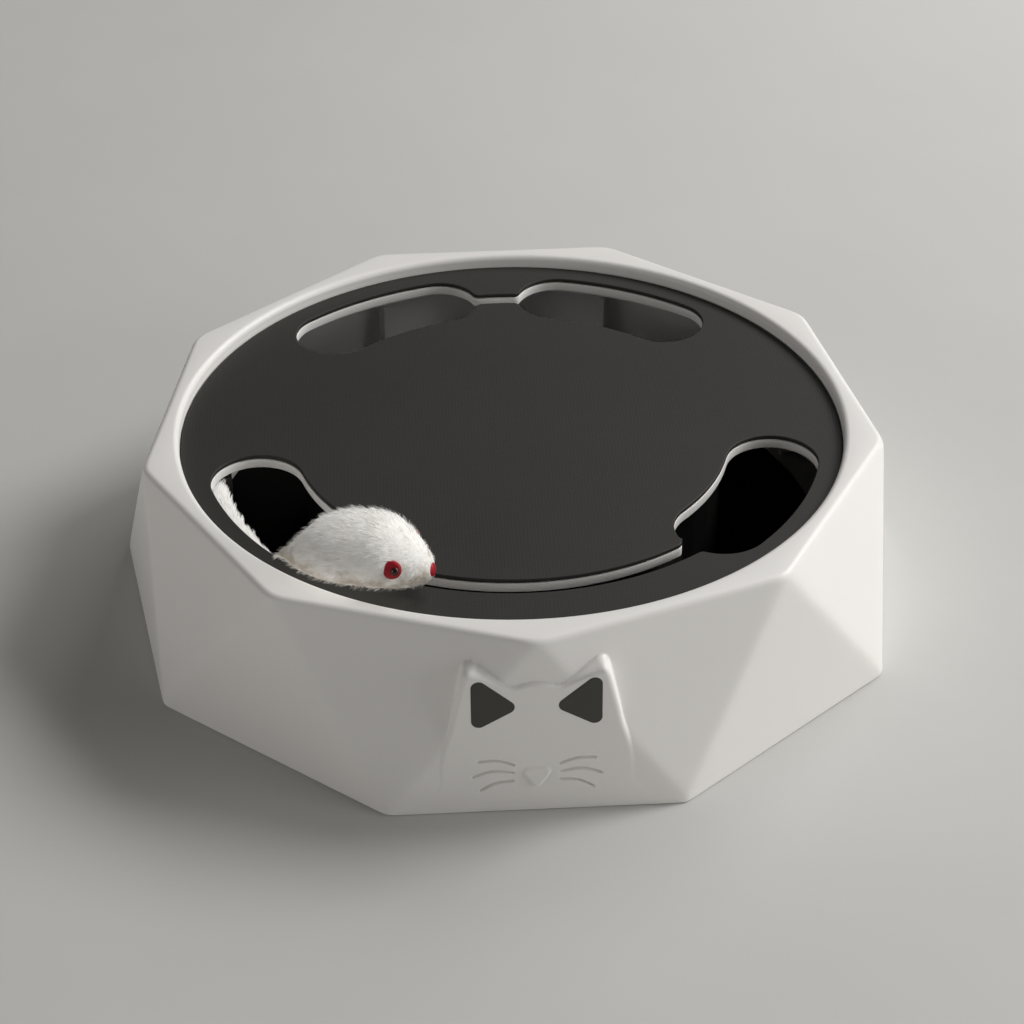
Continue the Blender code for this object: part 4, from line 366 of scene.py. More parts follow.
def facet_radius(theta, z, inset=0.0):
    """Radius of the faceted wall, with its edges eased, at angles theta and heights z."""
    rise = wall_rise(z)
    upright = APOTHEM_BOTTOM - inset + (TOP_RADIUS - APOTHEM_BOTTOM) * rise
    hanging = BOTTOM_RADIUS - inset + (APOTHEM_TOP - BOTTOM_RADIUS) * rise
    turn = np.mod(theta - FRONT, STEP)
    candidates = (upright / np.cos(turn), upright / np.cos(STEP - turn), hanging / np.cos(turn - STEP / 2),
                  hanging / np.cos(turn + STEP / 2), hanging / np.cos(turn - STEP * 1.5))
    ease = 0.42
    total = sum(np.exp(-(value - upright) / ease) for value in candidates)
    return upright - ease * np.log(total)


# The right half of the cat's head, from the chin over the ear to the middle, as (x, z)
HEAD_RIGHT = np.array((
    (32.4, 4.0), (32.3, 11.5), (32.1, 17.5), (31.3, 23.0), (29.6, 29.0), (27.9, 34.0), (26.4, 40.0),
    (24.9, 45.5), (23.6, 50.2), (22.8, 52.9), (21.8, 54.5), (20.2, 54.9), (18.3, 54.1), (16.0, 53.0),
    (13.2, 51.6), (10.5, 50.2), (8.2, 49.2), (6.2, 49.1), (4.0, 49.7), (1.6, 50.2),
))


def smooth_loop(points, samples):
    """A closed curve through points."""
    points = np.asarray(points, dtype=float)
    before, there, beyond = (np.roll(points, shift, 0) for shift in (1, -1, -2))
    out = [catmull_rom(before, points, there, beyond, share) for share in np.arange(samples) / samples]
    return np.stack(out, 1).reshape(-1, points.shape[1])


def head_outline():
    left = HEAD_RIGHT[::-1] * (-1, 1)
    return smooth_loop(np.concatenate((HEAD_RIGHT, left)), 5)


def signed_distance(points, loop):
    """Distance from plan points to a closed loop, positive inside."""
    best = np.full(len(points), 1e9)
    inside = np.zeros(len(points), dtype=bool)
    for start, end in zip(loop, np.roll(loop, -1, 0)):
        along = end - start
        share = np.clip(((points - start) @ along) / (along @ along), 0, 1)
        nearest = start + share[:, None] * along
        best = np.minimum(best, np.hypot(*(points - nearest).T))
        crosses = (start[1] > points[:, 1]) != (end[1] > points[:, 1])
        with np.errstate(divide="ignore", invalid="ignore"):
            at = start[0] + (points[:, 1] - start[1]) * along[0] / along[1]
        inside ^= crosses & (points[:, 0] < at)
    return np.where(inside, best, -best)


def line_distance(points, line):
    """Distance from plan points to an open line."""
    best = np.full(len(points), 1e9)
    for start, end in zip(line, line[1:]):
        along = end - start
        share = np.clip(((points - start) @ along) / (along @ along), 0, 1)
        best = np.minimum(best, np.hypot(*(points - start - share[:, None] * along).T))
    return best


CHIN_SUNK, CHIN_HEIGHT = 0.3, 5.0
HEAD_LEAN = 2.0 / 56.2


def head_plane(z):
    """Distance from the axis to the head's front plane: sunk at the chin, proud at the ears."""
    facet = APOTHEM_BOTTOM + (TOP_RADIUS - APOTHEM_BOTTOM) * (z - TUB_BOTTOM) / (TUB_TOP - TUB_BOTTOM)
    return facet - CHIN_SUNK + (z - CHIN_HEIGHT) * HEAD_LEAN


def rounded_corners(corners, radius, steps):
    """A closed loop round a polygon, with an arc in place of each corner."""
    points = []
    count = len(corners)
    for index in range(count):
        corner = np.array(corners[index], dtype=float)
        back = np.array(corners[index - 1]) - corner
        ahead = np.array(corners[(index + 1) % count]) - corner
        back /= np.linalg.norm(back)
        ahead /= np.linalg.norm(ahead)
        half = math.acos(np.clip(back @ ahead, -1, 1)) / 2
        middle = (back + ahead) / np.linalg.norm(back + ahead)
        centre = corner + middle * radius / math.sin(half)
        first = corner + back * radius / math.tan(half) - centre
        last = corner + ahead * radius / math.tan(half) - centre
        start = math.atan2(first[1], first[0])
        sweep = math.remainder(math.atan2(last[1], last[0]) - start, 2 * math.pi)
        for step in range(steps + 1):
            points.append(centre + polar(radius, start + sweep * step / steps))
    return np.array(points)


NOSE_LOOP = rounded_corners(((6.2, 17.7), (-6.2, 17.7), (0.0, 8.6)), 1.9, 8)
NOSE_MIDDLE, NOSE_LEAN = 13.0, 0.12
WHISKERS = (
    ((18.9, 20.35), (13.05, 20.45), (7.45, 18.5)),
    ((20.85, 14.1), (14.7, 16.25), (7.8, 15.45)),
    ((18.35, 8.7), (13.1, 11.6), (7.6, 12.2)),
)
GROOVE_DEPTH, GROOVE_HALF, GROOVE_SLOPE = 1.6, 0.56, 0.42
RELIEF_REACH = 46
SIDE_SLOPE = 4.5
FILLET = 0.7


def smooth_line(points, samples):
    """An open curve through points."""
    points = np.asarray(points, dtype=float)
    padded = np.vstack((2 * points[0] - points[1], points, 2 * points[-1] - points[-2]))
    out = []
    for index in range(1, len(padded) - 2):
        out += [catmull_rom(*padded[index - 1:index + 3], share) for share in np.arange(samples) / samples]
    out.append(points[-1])
    return np.array(out)


def add_relief(theta, z, radius):
    """Lifts the front wall to the cat's head: rounded edges, drafted sides, nose and whisker grooves."""
    x = radius * np.cos(theta)
    near = (np.sin(theta) < -0.9) & (np.abs(x) < RELIEF_REACH)
    if not near.any():
        return radius
    points = np.stack((x[near], z[near]), 1)
    depth = signed_distance(points, head_outline())
    rounding = 1.1 + 1.2 * smooth_step((np.abs(points[:, 0]) - 15) / 7)
    over = rounding - np.clip(depth, 0, rounding)
    drop = np.where(depth < rounding, rounding - np.sqrt(np.maximum(rounding ** 2 - over ** 2, 0)), 0)
    drop += np.clip(-depth, 0, None) * SIDE_SLOPE
    front = (head_plane(z[near]) - drop) / np.cos(theta[near] - FRONT)
    base = radius[near]
    lift = np.clip(0.5 + 0.5 * (front - base) / FILLET, 0, 1)
    raised = base + (front - base) * lift + FILLET * lift * (1 - lift)
    raised = np.where(front < base - FILLET, base, raised)
    nose = signed_distance(points, NOSE_LOOP)
    raised += (1.0 - (z[near] - NOSE_MIDDLE) * NOSE_LEAN) * smooth_step((nose + 0.3) / 1.3)
    for whisker in WHISKERS:
        for side in (1, -1):
            line = smooth_line(whisker, 8) * (side, 1)
            raised -= GROOVE_DEPTH * smooth_step((GROOVE_HALF - line_distance(points, line)) / GROOVE_SLOPE)
    out = radius.copy()
    out[near] = raised
    return out


def wall_patch(angles, heights):
    """Outer wall from the foot, over the rim, down the recess and along the ledge to its inner edge."""
    low = facet_radius(angles, np.full_like(angles, FOOT + FOOT_EDGE))
    rows = [(low - FOOT_EDGE + FOOT_EDGE * math.cos(turn), FOOT + FOOT_EDGE + FOOT_EDGE * math.sin(turn))
            for turn in np.linspace(-math.pi / 2, -math.pi / 12, 4)]
    theta, z = np.meshgrid(angles, heights)
    wall = add_relief(theta.ravel(), z.ravel(), facet_radius(theta.ravel(), z.ravel())).reshape(z.shape)
    rows += zip(wall, heights)
    top = facet_radius(angles, np.full_like(angles, TUB_TOP))
    step_down = 4.0
    slope = (top - facet_radius(angles, np.full_like(angles, TUB_TOP - step_down))) / step_down
    lean = np.arctan(-slope)
    centre = top - slope * EDGE - EDGE * np.sqrt(1 + slope ** 2)
    for share in np.linspace(0, 1, 8):
        turn = lean + (math.pi / 2 - lean) * share
        rows.append((centre + EDGE * np.cos(turn), TUB_TOP - EDGE + EDGE * np.sin(turn)))
    last = rows[-1][0]
    rows.append(((last + RIM_INNER) / 2, TUB_TOP))
    for turn in np.linspace(0, math.pi / 2, 9):
        rows.append((RIM_INNER - LIP * math.sin(turn), TUB_TOP - LIP + LIP * math.cos(turn)))
    rows += [(RECESS, LEDGE_TOP + 0.5), (RECESS - 0.15, LEDGE_TOP + 0.15), (RECESS - 0.5, LEDGE_TOP),
             (LEDGE_INNER + 0.3, LEDGE_TOP), (LEDGE_INNER, LEDGE_TOP - 0.3), (LEDGE_INNER, CAVITY_TOP)]
    return ring_rows(angles, rows), len(rows)


def ring_rows(angles, rows):
    """Points of rings about the axis from (radius, height) rows; a radius may vary with the angle."""
    verts = []
    for radius, height in rows:
        radius = radius + 0 * angles
        verts.append(np.stack((radius * np.cos(angles), radius * np.sin(angles), height + 0 * angles), 1))
    return np.concatenate(verts)


def fin(start, low, high, at_top_corner, angle):
    """A thin rib from a radius out into the leaning wall."""
    def reach(height):
        rise = wall_rise(height)
        first, last = BOTTOM_RADIUS - INNER_CUT, TOP_RADIUS - INNER_CUT
        if at_top_corner:
            first *= HALF
        else:
            last *= HALF
        return first + rise * (last - first) + 1.0
    profile = ((start, low), (reach(low), low), (reach(high), high), (start, high))
    verts = []
    for y in (-FIN_THICKNESS / 2, FIN_THICKNESS / 2):
        for x, height in profile:
            verts.append((x * math.cos(angle) - y * math.sin(angle),
                          x * math.sin(angle) + y * math.cos(angle), height))
    faces = [(3, 2, 1, 0), (4, 5, 6, 7)]
    faces += [(index, (index + 1) % 4, (index + 1) % 4 + 4, index + 4) for index in range(4)]
    return verts, faces


def tube_mesh(centre, profile, facets):
    """A turned piece from a closed list of (radius, height)."""
    verts = []
    for radius, height in profile:
        for step in range(facets):
            angle = 2 * math.pi * step / facets
            verts.append((centre[0] + radius * math.cos(angle), centre[1] + radius * math.sin(angle), height))
    faces = grid_faces(len(profile), facets, True)
    last = (len(profile) - 1) * facets
    for step in range(facets):
        after = (step + 1) % facets
        faces.append((last + step, last + after, after, step))
    return verts, faces


def make_tub():
    """The shell: a fine patch at the head, a coarser rest, the inside, ribs and bosses."""
    front_half = math.radians(20.5)
    middle_half = math.radians(11)
    fine = np.concatenate((np.linspace(-front_half, -middle_half, 66, endpoint=False),
                           np.linspace(-middle_half, middle_half, 250, endpoint=False),
                           np.linspace(middle_half, front_half, 67))) + FRONT
    lowest, chin, muzzle, highest = 2.0, 7.5, 22.0, 62.2
    fine_rows = np.concatenate(([FOOT + FOOT_EDGE], np.linspace(lowest, chin, 10, endpoint=False),
                                np.linspace(chin, muzzle, 76, endpoint=False),
                                np.linspace(muzzle, highest, 88)))
    coarse = np.linspace(front_half, 2 * math.pi - front_half, 860) + FRONT
    coarse_rows = np.concatenate(([FOOT + FOOT_EDGE], np.linspace(lowest, highest, 58)))
    parts = []
    for angles, heights in ((fine, fine_rows), (coarse, coarse_rows)):
        verts, rows = wall_patch(angles, heights)
        parts.append((verts, grid_faces(rows, len(angles), False)))
    around = np.linspace(0, 2 * math.pi, 432, endpoint=False)
    inside = [(LEDGE_INNER, CAVITY_TOP)]
    for height in np.linspace(CAVITY_TOP, FOOT, 9):
        inside.append((facet_radius(around, np.full_like(around, height), INNER_CUT), height))
    inside.append((facet_radius(around, np.full_like(around, FOOT + FOOT_EDGE)) - FOOT_EDGE, FOOT))
    parts.append((ring_rows(around, inside), grid_faces(len(inside), len(around), True)))
    for index in range(SIDES):
        start = (TOP_RADIUS - INNER_CUT) - 4.2
        parts.append(fin(start, FIN_LOW, FIN_LOW + TALL_FIN, True, FRONT + index * STEP))
        if index % 3:
            angle = FRONT + STEP * (index + 0.5)
            parts.append(fin(130.0, FIN_LOW, FIN_LOW + LOW_FIN, False, angle))
            parts.append(tube_mesh(polar(BOTTOM_RADIUS - 14.6, angle), BOSS_PROFILE, 32))
    all_verts = []
    all_faces = []
    offset = 0
    for verts, faces in parts:
        all_verts.append(np.asarray(verts))
        all_faces += [tuple(index + offset for index in face) for face in faces]
        offset += len(verts)
    tub = make_object("tub_shell", np.concatenate(all_verts), all_faces, WHITE, sharp=38)
    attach(tub, "base")
    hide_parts("housing")


def front_depth(x, z):
    """Distance in front of the axis of the relief's surface at x and z."""
    depth = np.full_like(x, APOTHEM_TOP)
    for _ in range(8):
        theta = np.arctan2(-depth, x) + 2 * math.pi
        radius = add_relief(theta, z, facet_radius(theta, z))
        depth = np.sqrt(radius ** 2 - x ** 2)
    return depth


def make_ear_inlays():
    """Dark triangles in the ears, a hair proud of the head."""
    for side, name in ((-1, "left"), (1, "right")):
        corners = [(side * x, z) for x, z in ((20.9, 55.1), (5.2, 41.4), (20.9, 32.3))]
        loop = rounded_corners(corners, 2.5, 12)
        middle = loop.mean(0)
        inward = middle - loop
        distance = np.linalg.norm(inward, axis=1, keepdims=True)
        rows = []
        for shrink, lift in ((0.0, -1.0), (0.0, 0.02), (0.15, 0.10), (0.5, 0.13), (2.5, 0.13), (5.0, 0.13)):
            flat = loop + inward / distance * np.minimum(shrink, distance * 0.9)
            rows.append(np.stack((flat[:, 0], -(front_depth(flat[:, 0], flat[:, 1]) + lift), flat[:, 1]), 1))
        verts = np.concatenate(rows)
        piece = make_object("ear_" + name, verts, capped_faces(len(rows), len(loop)), INLAY, sharp=35)
        fix_normals(piece)
        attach(piece, "base")
        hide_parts("ear_inlay_" + name)


# The deck and its openings

def arc(centre, radius, start, end, steps):
    angles = [start + (end - start) * step / steps for step in range(steps + 1)]
    return [np.asarray(centre) + polar(radius, angle) for angle in angles]


def turn_arc(centre, radius, start, end, steps):
    """The shorter arc between two directions from a centre."""
    first = math.atan2(start[1], start[0])
    sweep = math.remainder(math.atan2(end[1], end[0]) - first, 2 * math.pi)
    return arc(centre, radius, first, first + sweep, steps)


def touching(neck, cap_centre, cap):
    """Centre of a fillet at a distance from the axis and from a cap's centre, on the neck's side."""
    distance = np.linalg.norm(cap_centre)
    along = (neck ** 2 - cap ** 2 + distance ** 2) / (2 * distance)
    height = math.sqrt(neck ** 2 - along ** 2)
    toward = cap_centre / distance
    options = [toward * along + side * height * np.array((-toward[1], toward[0])) for side in (1, -1)]
    return min(options, key=lambda point: point[1])


def opening(inner, outer, neck_inner, neck_outer, near, far, mirror):
    """Two round-ended paw holes joined by a narrow slot, alike on both sides of the mirror angle."""
    fillet = 2.5
    middle = (inner + outer) / 2
    cap = (outer - inner) / 2
    origin = np.zeros(2)
    near_centre = polar(middle, near)
    far_centre = polar(middle, far)
    inner_fillet = touching(neck_inner - fillet, near_centre, cap + fillet)
    outer_fillet = touching(neck_outer + fillet, near_centre, cap + fillet)
    half = arc(origin, neck_inner, 0, math.atan2(inner_fillet[1], inner_fillet[0]), 16)
    half += turn_arc(inner_fillet, fillet, inner_fillet, near_centre - inner_fillet, 8)[1:]
    half += turn_arc(near_centre, cap, inner_fillet - near_centre, -near_centre, 12)[1:]
    half += arc(origin, inner, near, far, 16)[1:]
    half += arc(far_centre, cap, far + math.pi, far, 24)[1:]
    half += arc(origin, outer, far, near, 16)[1:]
    half += turn_arc(near_centre, cap, near_centre, outer_fillet - near_centre, 12)[1:]
    half += turn_arc(outer_fillet, fillet, near_centre - outer_fillet, -outer_fillet, 8)[1:]
    half += arc(origin, neck_outer, math.atan2(outer_fillet[1], outer_fillet[0]), 0, 16)[1:]
    loop = half + [point * (1, -1) for point in reversed(half[1:-1])]
    turned = [polar(np.hypot(*point), math.atan2(point[1], point[0]) + mirror) for point in loop]
    return np.array(turned)


PAW_OUTER = DECK_RADIUS - 7.4
SLOT_OUTER = PAW_OUTER - 11.2
SLOT_WIDTH = 7.3
FRONT_OPENING = opening(PAW_OUTER - 31.9, PAW_OUTER, SLOT_OUTER - SLOT_WIDTH, SLOT_OUTER,
                        math.radians(46), math.radians(73.5), FRONT)
REAR_OUTER = PAW_OUTER - 0.5
REAR_NECK = REAR_OUTER - 12.8
REAR_OPENING = opening(REAR_OUTER - 29.8, REAR_OUTER, REAR_NECK - 6.6, REAR_NECK,
                       math.radians(14), math.radians(40.9), REAR)


def slab(name, low, high, edge, loops, material):
    """A flat plate with holes and eased edges, drawn as a filled outline."""
    curve = bpy.data.curves.new(name, "CURVE")
    curve.dimensions = "2D"
    curve.fill_mode = "BOTH"
    curve.extrude = (high - low) / 2 * MM - edge * MM
    curve.bevel_depth = edge * MM
    curve.bevel_resolution = 2
    curve.offset = -edge * MM
    for loop in loops:
        spline = curve.splines.new("POLY")
        spline.points.add(len(loop) - 1)
        for point, place in zip(spline.points, loop):
            point.co = (place[0] * MM, place[1] * MM, 0, 1)
        spline.use_cyclic_u = True
    holder = bpy.data.objects.new(name + "_outline", curve)
    bpy.context.scene.collection.objects.link(holder)
    holder.location.z = (high + low) / 2 * MM
    bpy.context.view_layer.update()
    mesh = bpy.data.meshes.new_from_object(holder.evaluated_get(bpy.context.evaluated_depsgraph_get()))
    mesh.transform(holder.matrix_world)
    bpy.data.objects.remove(holder, do_unlink=True)
    mesh.materials.clear()
    mesh.materials.append(material)
    piece = bpy.data.objects.new(name, mesh)
    bpy.context.scene.collection.objects.link(piece)
    shape = bmesh.new()
    shape.from_mesh(mesh)
    same_place = 0.000002
    bmesh.ops.remove_doubles(shape, verts=shape.verts, dist=same_place)
    bmesh.ops.recalc_face_normals(shape, faces=shape.faces)
    shape.to_mesh(mesh)
    shape.free()
    mesh.shade_smooth()
    mesh.set_sharp_from_angle(angle=math.radians(35))
    for face in mesh.polygons:
        face.use_smooth = abs(face.normal.z) < 0.999
    return piece


def make_deck():
    outline = np.array(arc((0, 0), DECK_RADIUS, 0, 2 * math.pi, 240)[:-1])
    mat_edge, plate_edge, well_radius = 0.35, 0.3, 4.8
    loops = (outline, FRONT_OPENING, REAR_OPENING)
    mat = slab("mat_sheet", MAT_TOP - MAT_THICKNESS, MAT_TOP, mat_edge, loops, MAT)
    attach(mat, "base")
    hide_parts("deck_mat")
    top = MAT_TOP - MAT_THICKNESS - MAT_GAP
    well = np.array(arc((0, 0), well_radius, 0, 2 * math.pi, 48)[:-1])
    plate = slab("deck_sheet", top - PLATE_THICKNESS, top, plate_edge, (*loops, well), WHITE)
    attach(plate, "base")
    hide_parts("deck_plate")


# The mouse

# Shares of the mouse's length, half width, half height, and its underside over the mat
MOUSE_ROWS = np.array((
    (-0.045, 0.03, 0.03, 0.075), (-0.025, 0.08, 0.08, 0.085), (0.000, 0.14, 0.13, 0.095),
    (0.045, 0.24, 0.22, 0.085), (0.100, 0.42, 0.38, 0.055), (0.170, 0.62, 0.57, 0.030),
    (0.250, 0.80, 0.76, 0.010), (0.340, 0.93, 0.86, 0.000), (0.440, 0.99, 0.915, 0.000),
    (0.540, 1.00, 0.95, 0.000), (0.640, 0.97, 0.965, 0.000), (0.730, 0.89, 0.92, 0.004),
    (0.810, 0.77, 0.80, 0.014), (0.880, 0.62, 0.66, 0.034), (0.940, 0.45, 0.49, 0.066),
    (0.980, 0.30, 0.33, 0.112), (1.000, 0.15, 0.17, 0.160), (1.006, 0.03, 0.03, 0.200),
))
MOUSE_LENGTH, MOUSE_WIDTH, MOUSE_HEIGHT = 52.0, 30.0, 24.5
SLOT_MIDDLE = SLOT_OUTER - SLOT_WIDTH / 2
MOUSE_CENTRE = polar(SLOT_MIDDLE + 7.0, math.radians(236.9))
HEADING = polar(1, math.radians(-19.4))
ACROSS = np.array((HEADING[1], -HEADING[0]))
AHEAD = np.array((*HEADING, 0.0))
SKIN = 0.6
# Name, count, lowest and highest lift in degrees, length, locks for each hair, width
MOUSE_HAIR = (
    ("mouse_pile", 26000, 7, 17, 2.6, 0.06, 0.09),
    ("mouse_guard_hairs", 6000, 28, 50, 2.8, 0.12, 0.05),
)
NOSE_CLEAR = 3.3
EYE_CLEAR = (2.9, 2.0)
EYE_DISC = ((2.7, -1.4), (3.1, -1.0), (3.15, -0.5), (2.95, -0.1), (2.4, 0.15), (1.4, 0.3), (0.4, 0.34))
BEAD_RADIUS = 1.35
NOSE_PROFILE = ((0.8, -1.8), (1.9, -1.3), (2.6, -0.4), (2.8, 0.6), (2.5, 1.5), (1.7, 2.15), (0.4, 2.4))


def mouse_row(share):
    """Half width, half height and underside at shares of the mouse's length."""
    shares = MOUSE_ROWS[:, 0]
    width, height, lift = (np.interp(share, shares, MOUSE_ROWS[:, column]) for column in (1, 2, 3))
    return width * MOUSE_WIDTH / 2, height * MOUSE_HEIGHT / 2, lift * MOUSE_HEIGHT + MAT_TOP + 0.3


def body_points(share, angle, inset):
    """Points on the body; angle 0 is the side that faces the front, a quarter turn is the back."""
    half_width, half_height, base = mouse_row(share)
    width = np.maximum(half_width - inset, half_width * 0.5)
    height = np.maximum(half_height - inset, half_height * 0.5)
    flat = MOUSE_CENTRE + np.outer((share - 0.5) * MOUSE_LENGTH, HEADING)
    flat = flat + np.outer(width * np.cos(angle), ACROSS)
    return np.column_stack((flat, base + half_height + height * np.sin(angle)))


def body_normals(share, angle, inset):
    """Outward directions on the body."""
    step = 0.012
    along = body_points(share + step, angle, inset) - body_points(share - step, angle, inset)
    around = body_points(share, angle + step, inset) - body_points(share, angle - step, inset)
    return unit(np.cross(along, around))


def pile(name, roots, normals, lay, lift, lengths, widths, locks):
    """Tapering hairs lying back along a fur's lay, drawn together into locks, shaded like the skin.

    The hairs cast no shadow: on each other it would make white fur look grey.
    """
    count = len(roots)
    flat = unit(lay - normals * np.sum(lay * normals, axis=1, keepdims=True))
    direction = normals * np.sin(lift)[:, None] + flat * np.cos(lift)[:, None]
    direction = unit(direction + rng.normal(scale=0.07, size=(count, 3)))
    seeds = rng.choice(count, locks, replace=False)
    tree = KDTree(locks)
    for index, seed in enumerate(seeds):
        tree.insert(roots[seed], index)
    tree.balance()
    nearest = seeds[[tree.find(root)[1] for root in roots]]
    ends = roots[nearest] + direction[nearest] * lengths[nearest][:, None] * 1.1
    pull = rng.uniform(0.35, 0.85, count)[:, None]
    ends = ends * pull + (roots + direction * lengths[:, None]) * (1 - pull)
    reach = ends - roots
    spread = np.cross(unit(reach), unit(normals + rng.normal(scale=0.45, size=(count, 3))))
    side = unit(spread) * widths[:, None]
    middle = roots + reach * 0.5 + normals * lengths[:, None] * 0.05
    taper = side * 0.85
    verts = np.stack((roots - side, roots + side, middle + taper, middle - taper, ends), 1).reshape(-1, 3)
    faces = []
    for start in range(0, count * 5, 5):
        faces.append((start, start + 1, start + 2, start + 3))
        faces.append((start + 3, start + 2, start + 4))
    piece = make_object(name, verts, faces, FUR)
    uneven = rng.normal(scale=0.2, size=(count, 3))
    shading = unit(normals + unit(reach) * 0.2 + np.array((0, 0, 0.3)) + uneven)
    piece.data.normals_split_custom_set_from_vertices(np.repeat(shading, 5, 0).tolist())
    piece.visible_shadow = False
    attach(piece, "turntable")


def make_mouse():
    """The stuffed body under two coats of hair."""
    shares = np.concatenate((np.linspace(-0.06, 0.1, 14, endpoint=False),
                             np.linspace(0.1, 0.9, 38, endpoint=False), np.linspace(0.9, 1.005, 14)))
    facets = 48
    share = np.repeat(shares, facets)
    angle = np.tile(np.arange(facets) * 2 * math.pi / facets, len(shares))
    verts = body_points(share, angle, SKIN)
    core = make_object("mouse_plush", verts, capped_faces(len(shares), facets), FUR)
    fix_normals(core)
    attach(core, "turntable")
    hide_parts("mouse_body")

    eyes = [eye_place(side) for side in (1, -1)]
    grid = np.linspace(-0.04, 1.0, 240)
    weights = np.interp(grid, MOUSE_ROWS[:, 0], MOUSE_ROWS[:, 1]) + 0.12
    for name, count, low, high, long, locks, wide in MOUSE_HAIR:
        count = count
        share = np.interp(rng.random(count), np.cumsum(weights) / weights.sum(), grid)
        angle = rng.random(count) * 2 * math.pi
        roots = body_points(share, angle, SKIN + 0.1)
        normals = body_normals(share, angle, SKIN)
        lay = -AHEAD + np.outer(-0.22 - 0.35 * smooth_step((share - 0.6) / 0.4), (0, 0, 1.0))
        lift = np.radians(rng.uniform(low, high, count))
        face_trim = 0.38 * smooth_step((share - 0.62) / 0.35)
        rear_trim = 0.2 * smooth_step((0.12 - share) / 0.12)
        lengths = long * (1 - face_trim - rear_trim)
        lengths = lengths * rng.uniform(0.75, 1.15, count)
        under = smooth_step((MAT_TOP + 3.4 - roots[:, 2]) / 3.0)
        lift = lift * (1 - 0.8 * under)
        lengths = lengths * (1 - 0.45 * under)
        keep = np.linalg.norm(roots - nose_place() - AHEAD * 1.2, axis=1) > NOSE_CLEAR
        for (centre, _), clear in zip(eyes, EYE_CLEAR):
            keep &= np.linalg.norm(roots - centre, axis=1) > clear
        pile(name, roots[keep], normals[keep], lay[keep], lift[keep], lengths[keep],
             rng.uniform(0.55, 1.0, count)[keep] * wide, int(count * locks))


def nose_place():
    _, half_height, base = mouse_row(0.98)
    return np.array((*(MOUSE_CENTRE + HEADING * 0.48 * MOUSE_LENGTH), base + half_height))


def eye_place(side):
    """Centre of an eye on the head and its outward direction."""
    half_width, half_height, base = mouse_row(0.80)
    tilt = math.radians(14)
    flat = MOUSE_CENTRE + HEADING * 0.3 * MOUSE_LENGTH + ACROSS * side * half_width * math.cos(tilt)
    centre = np.array((flat[0], flat[1], base + half_height + half_height * math.sin(tilt)))
    outward = np.array((*(ACROSS * side * math.cos(tilt) / half_width), math.sin(tilt) / half_height))
    outward = outward / np.linalg.norm(outward) + AHEAD / 4
    outward /= np.linalg.norm(outward)
    sunk = 0.1 if side > 0 else 0.8
    return centre - outward * sunk, outward


def turned_piece(name, profile, facets, centre, direction, material):
    """A profile of (radius, height) turned about a direction."""
    turn = Vector(direction).to_track_quat("Z", "Y").to_matrix()
    verts = []
    for radius, height in profile:
        for step in range(facets):
            angle = 2 * math.pi * step / facets
            local = Vector((radius * math.cos(angle), radius * math.sin(angle), height))
            verts.append(tuple(Vector(centre) + turn @ local))
    piece = make_object(name, np.array(verts), capped_faces(len(profile), facets), material, sharp=50)
    fix_normals(piece)
    return piece


def make_face():
    """Felt eyes with glass beads, and the felt nose."""
    for side, name in ((1, "right"), (-1, "left")):
        centre, outward = eye_place(side)
        eye = turned_piece("eye_" + name, EYE_DISC, 40, centre, outward, FELT)
        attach(eye, "turntable")
        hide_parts("mouse_eye_" + name)
        ball = [(BEAD_RADIUS * math.sin(turn), 0.2 - BEAD_RADIUS * 0.7 * math.cos(turn))
                for turn in np.linspace(0.35, math.pi - 0.08, 12)]
        place = centre + outward * 0.3 + AHEAD * 1.1
        bead = turned_piece("pupil_" + name, ball, 32, place, outward, BEAD)
        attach(bead, "turntable")
        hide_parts("mouse_pupil_" + name)
    place = nose_place() - AHEAD * 0.9
    nose = turned_piece("nose_button", NOSE_PROFILE, 36, place, (*HEADING, 0.05), FELT)
    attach(nose, "turntable")
    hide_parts("mouse_nose")


# The tail's route: shares of the way out from the slot, along the opening and up, and its swell
TAIL_ROWS = np.array((
    (0.00, 0.00, 1.00, 0.00), (0.00, 0.00, 0.70, 0.00), (0.00, 0.01, 0.44, 0.00),
    (0.10, 0.07, 0.16, 0.30), (0.37, 0.18, 0.00, 0.75), (0.73, 0.34, 0.00, 1.00),
    (1.00, 0.51, 0.15, 1.00), (1.00, 0.70, 0.21, 1.00), (1.00, 0.89, 0.21, 0.60), (1.00, 1.00, 0.21, 0.00),
))
TAIL_RUN = PAW_OUTER - 3.1
TAIL_LOW = MAT_TOP - 14.1
TAIL_HIGH = MAT_TOP + 2.2
TAIL_START, TAIL_END = 240, 189
CROSSING_RADIUS = SLOT_WIDTH / 2 - 0.5
TIP_RADIUS = 5.0
SWELL_RADIUS = 5.3
TAIL_CORE, HAIR_ROOT = 0.82, 0.79


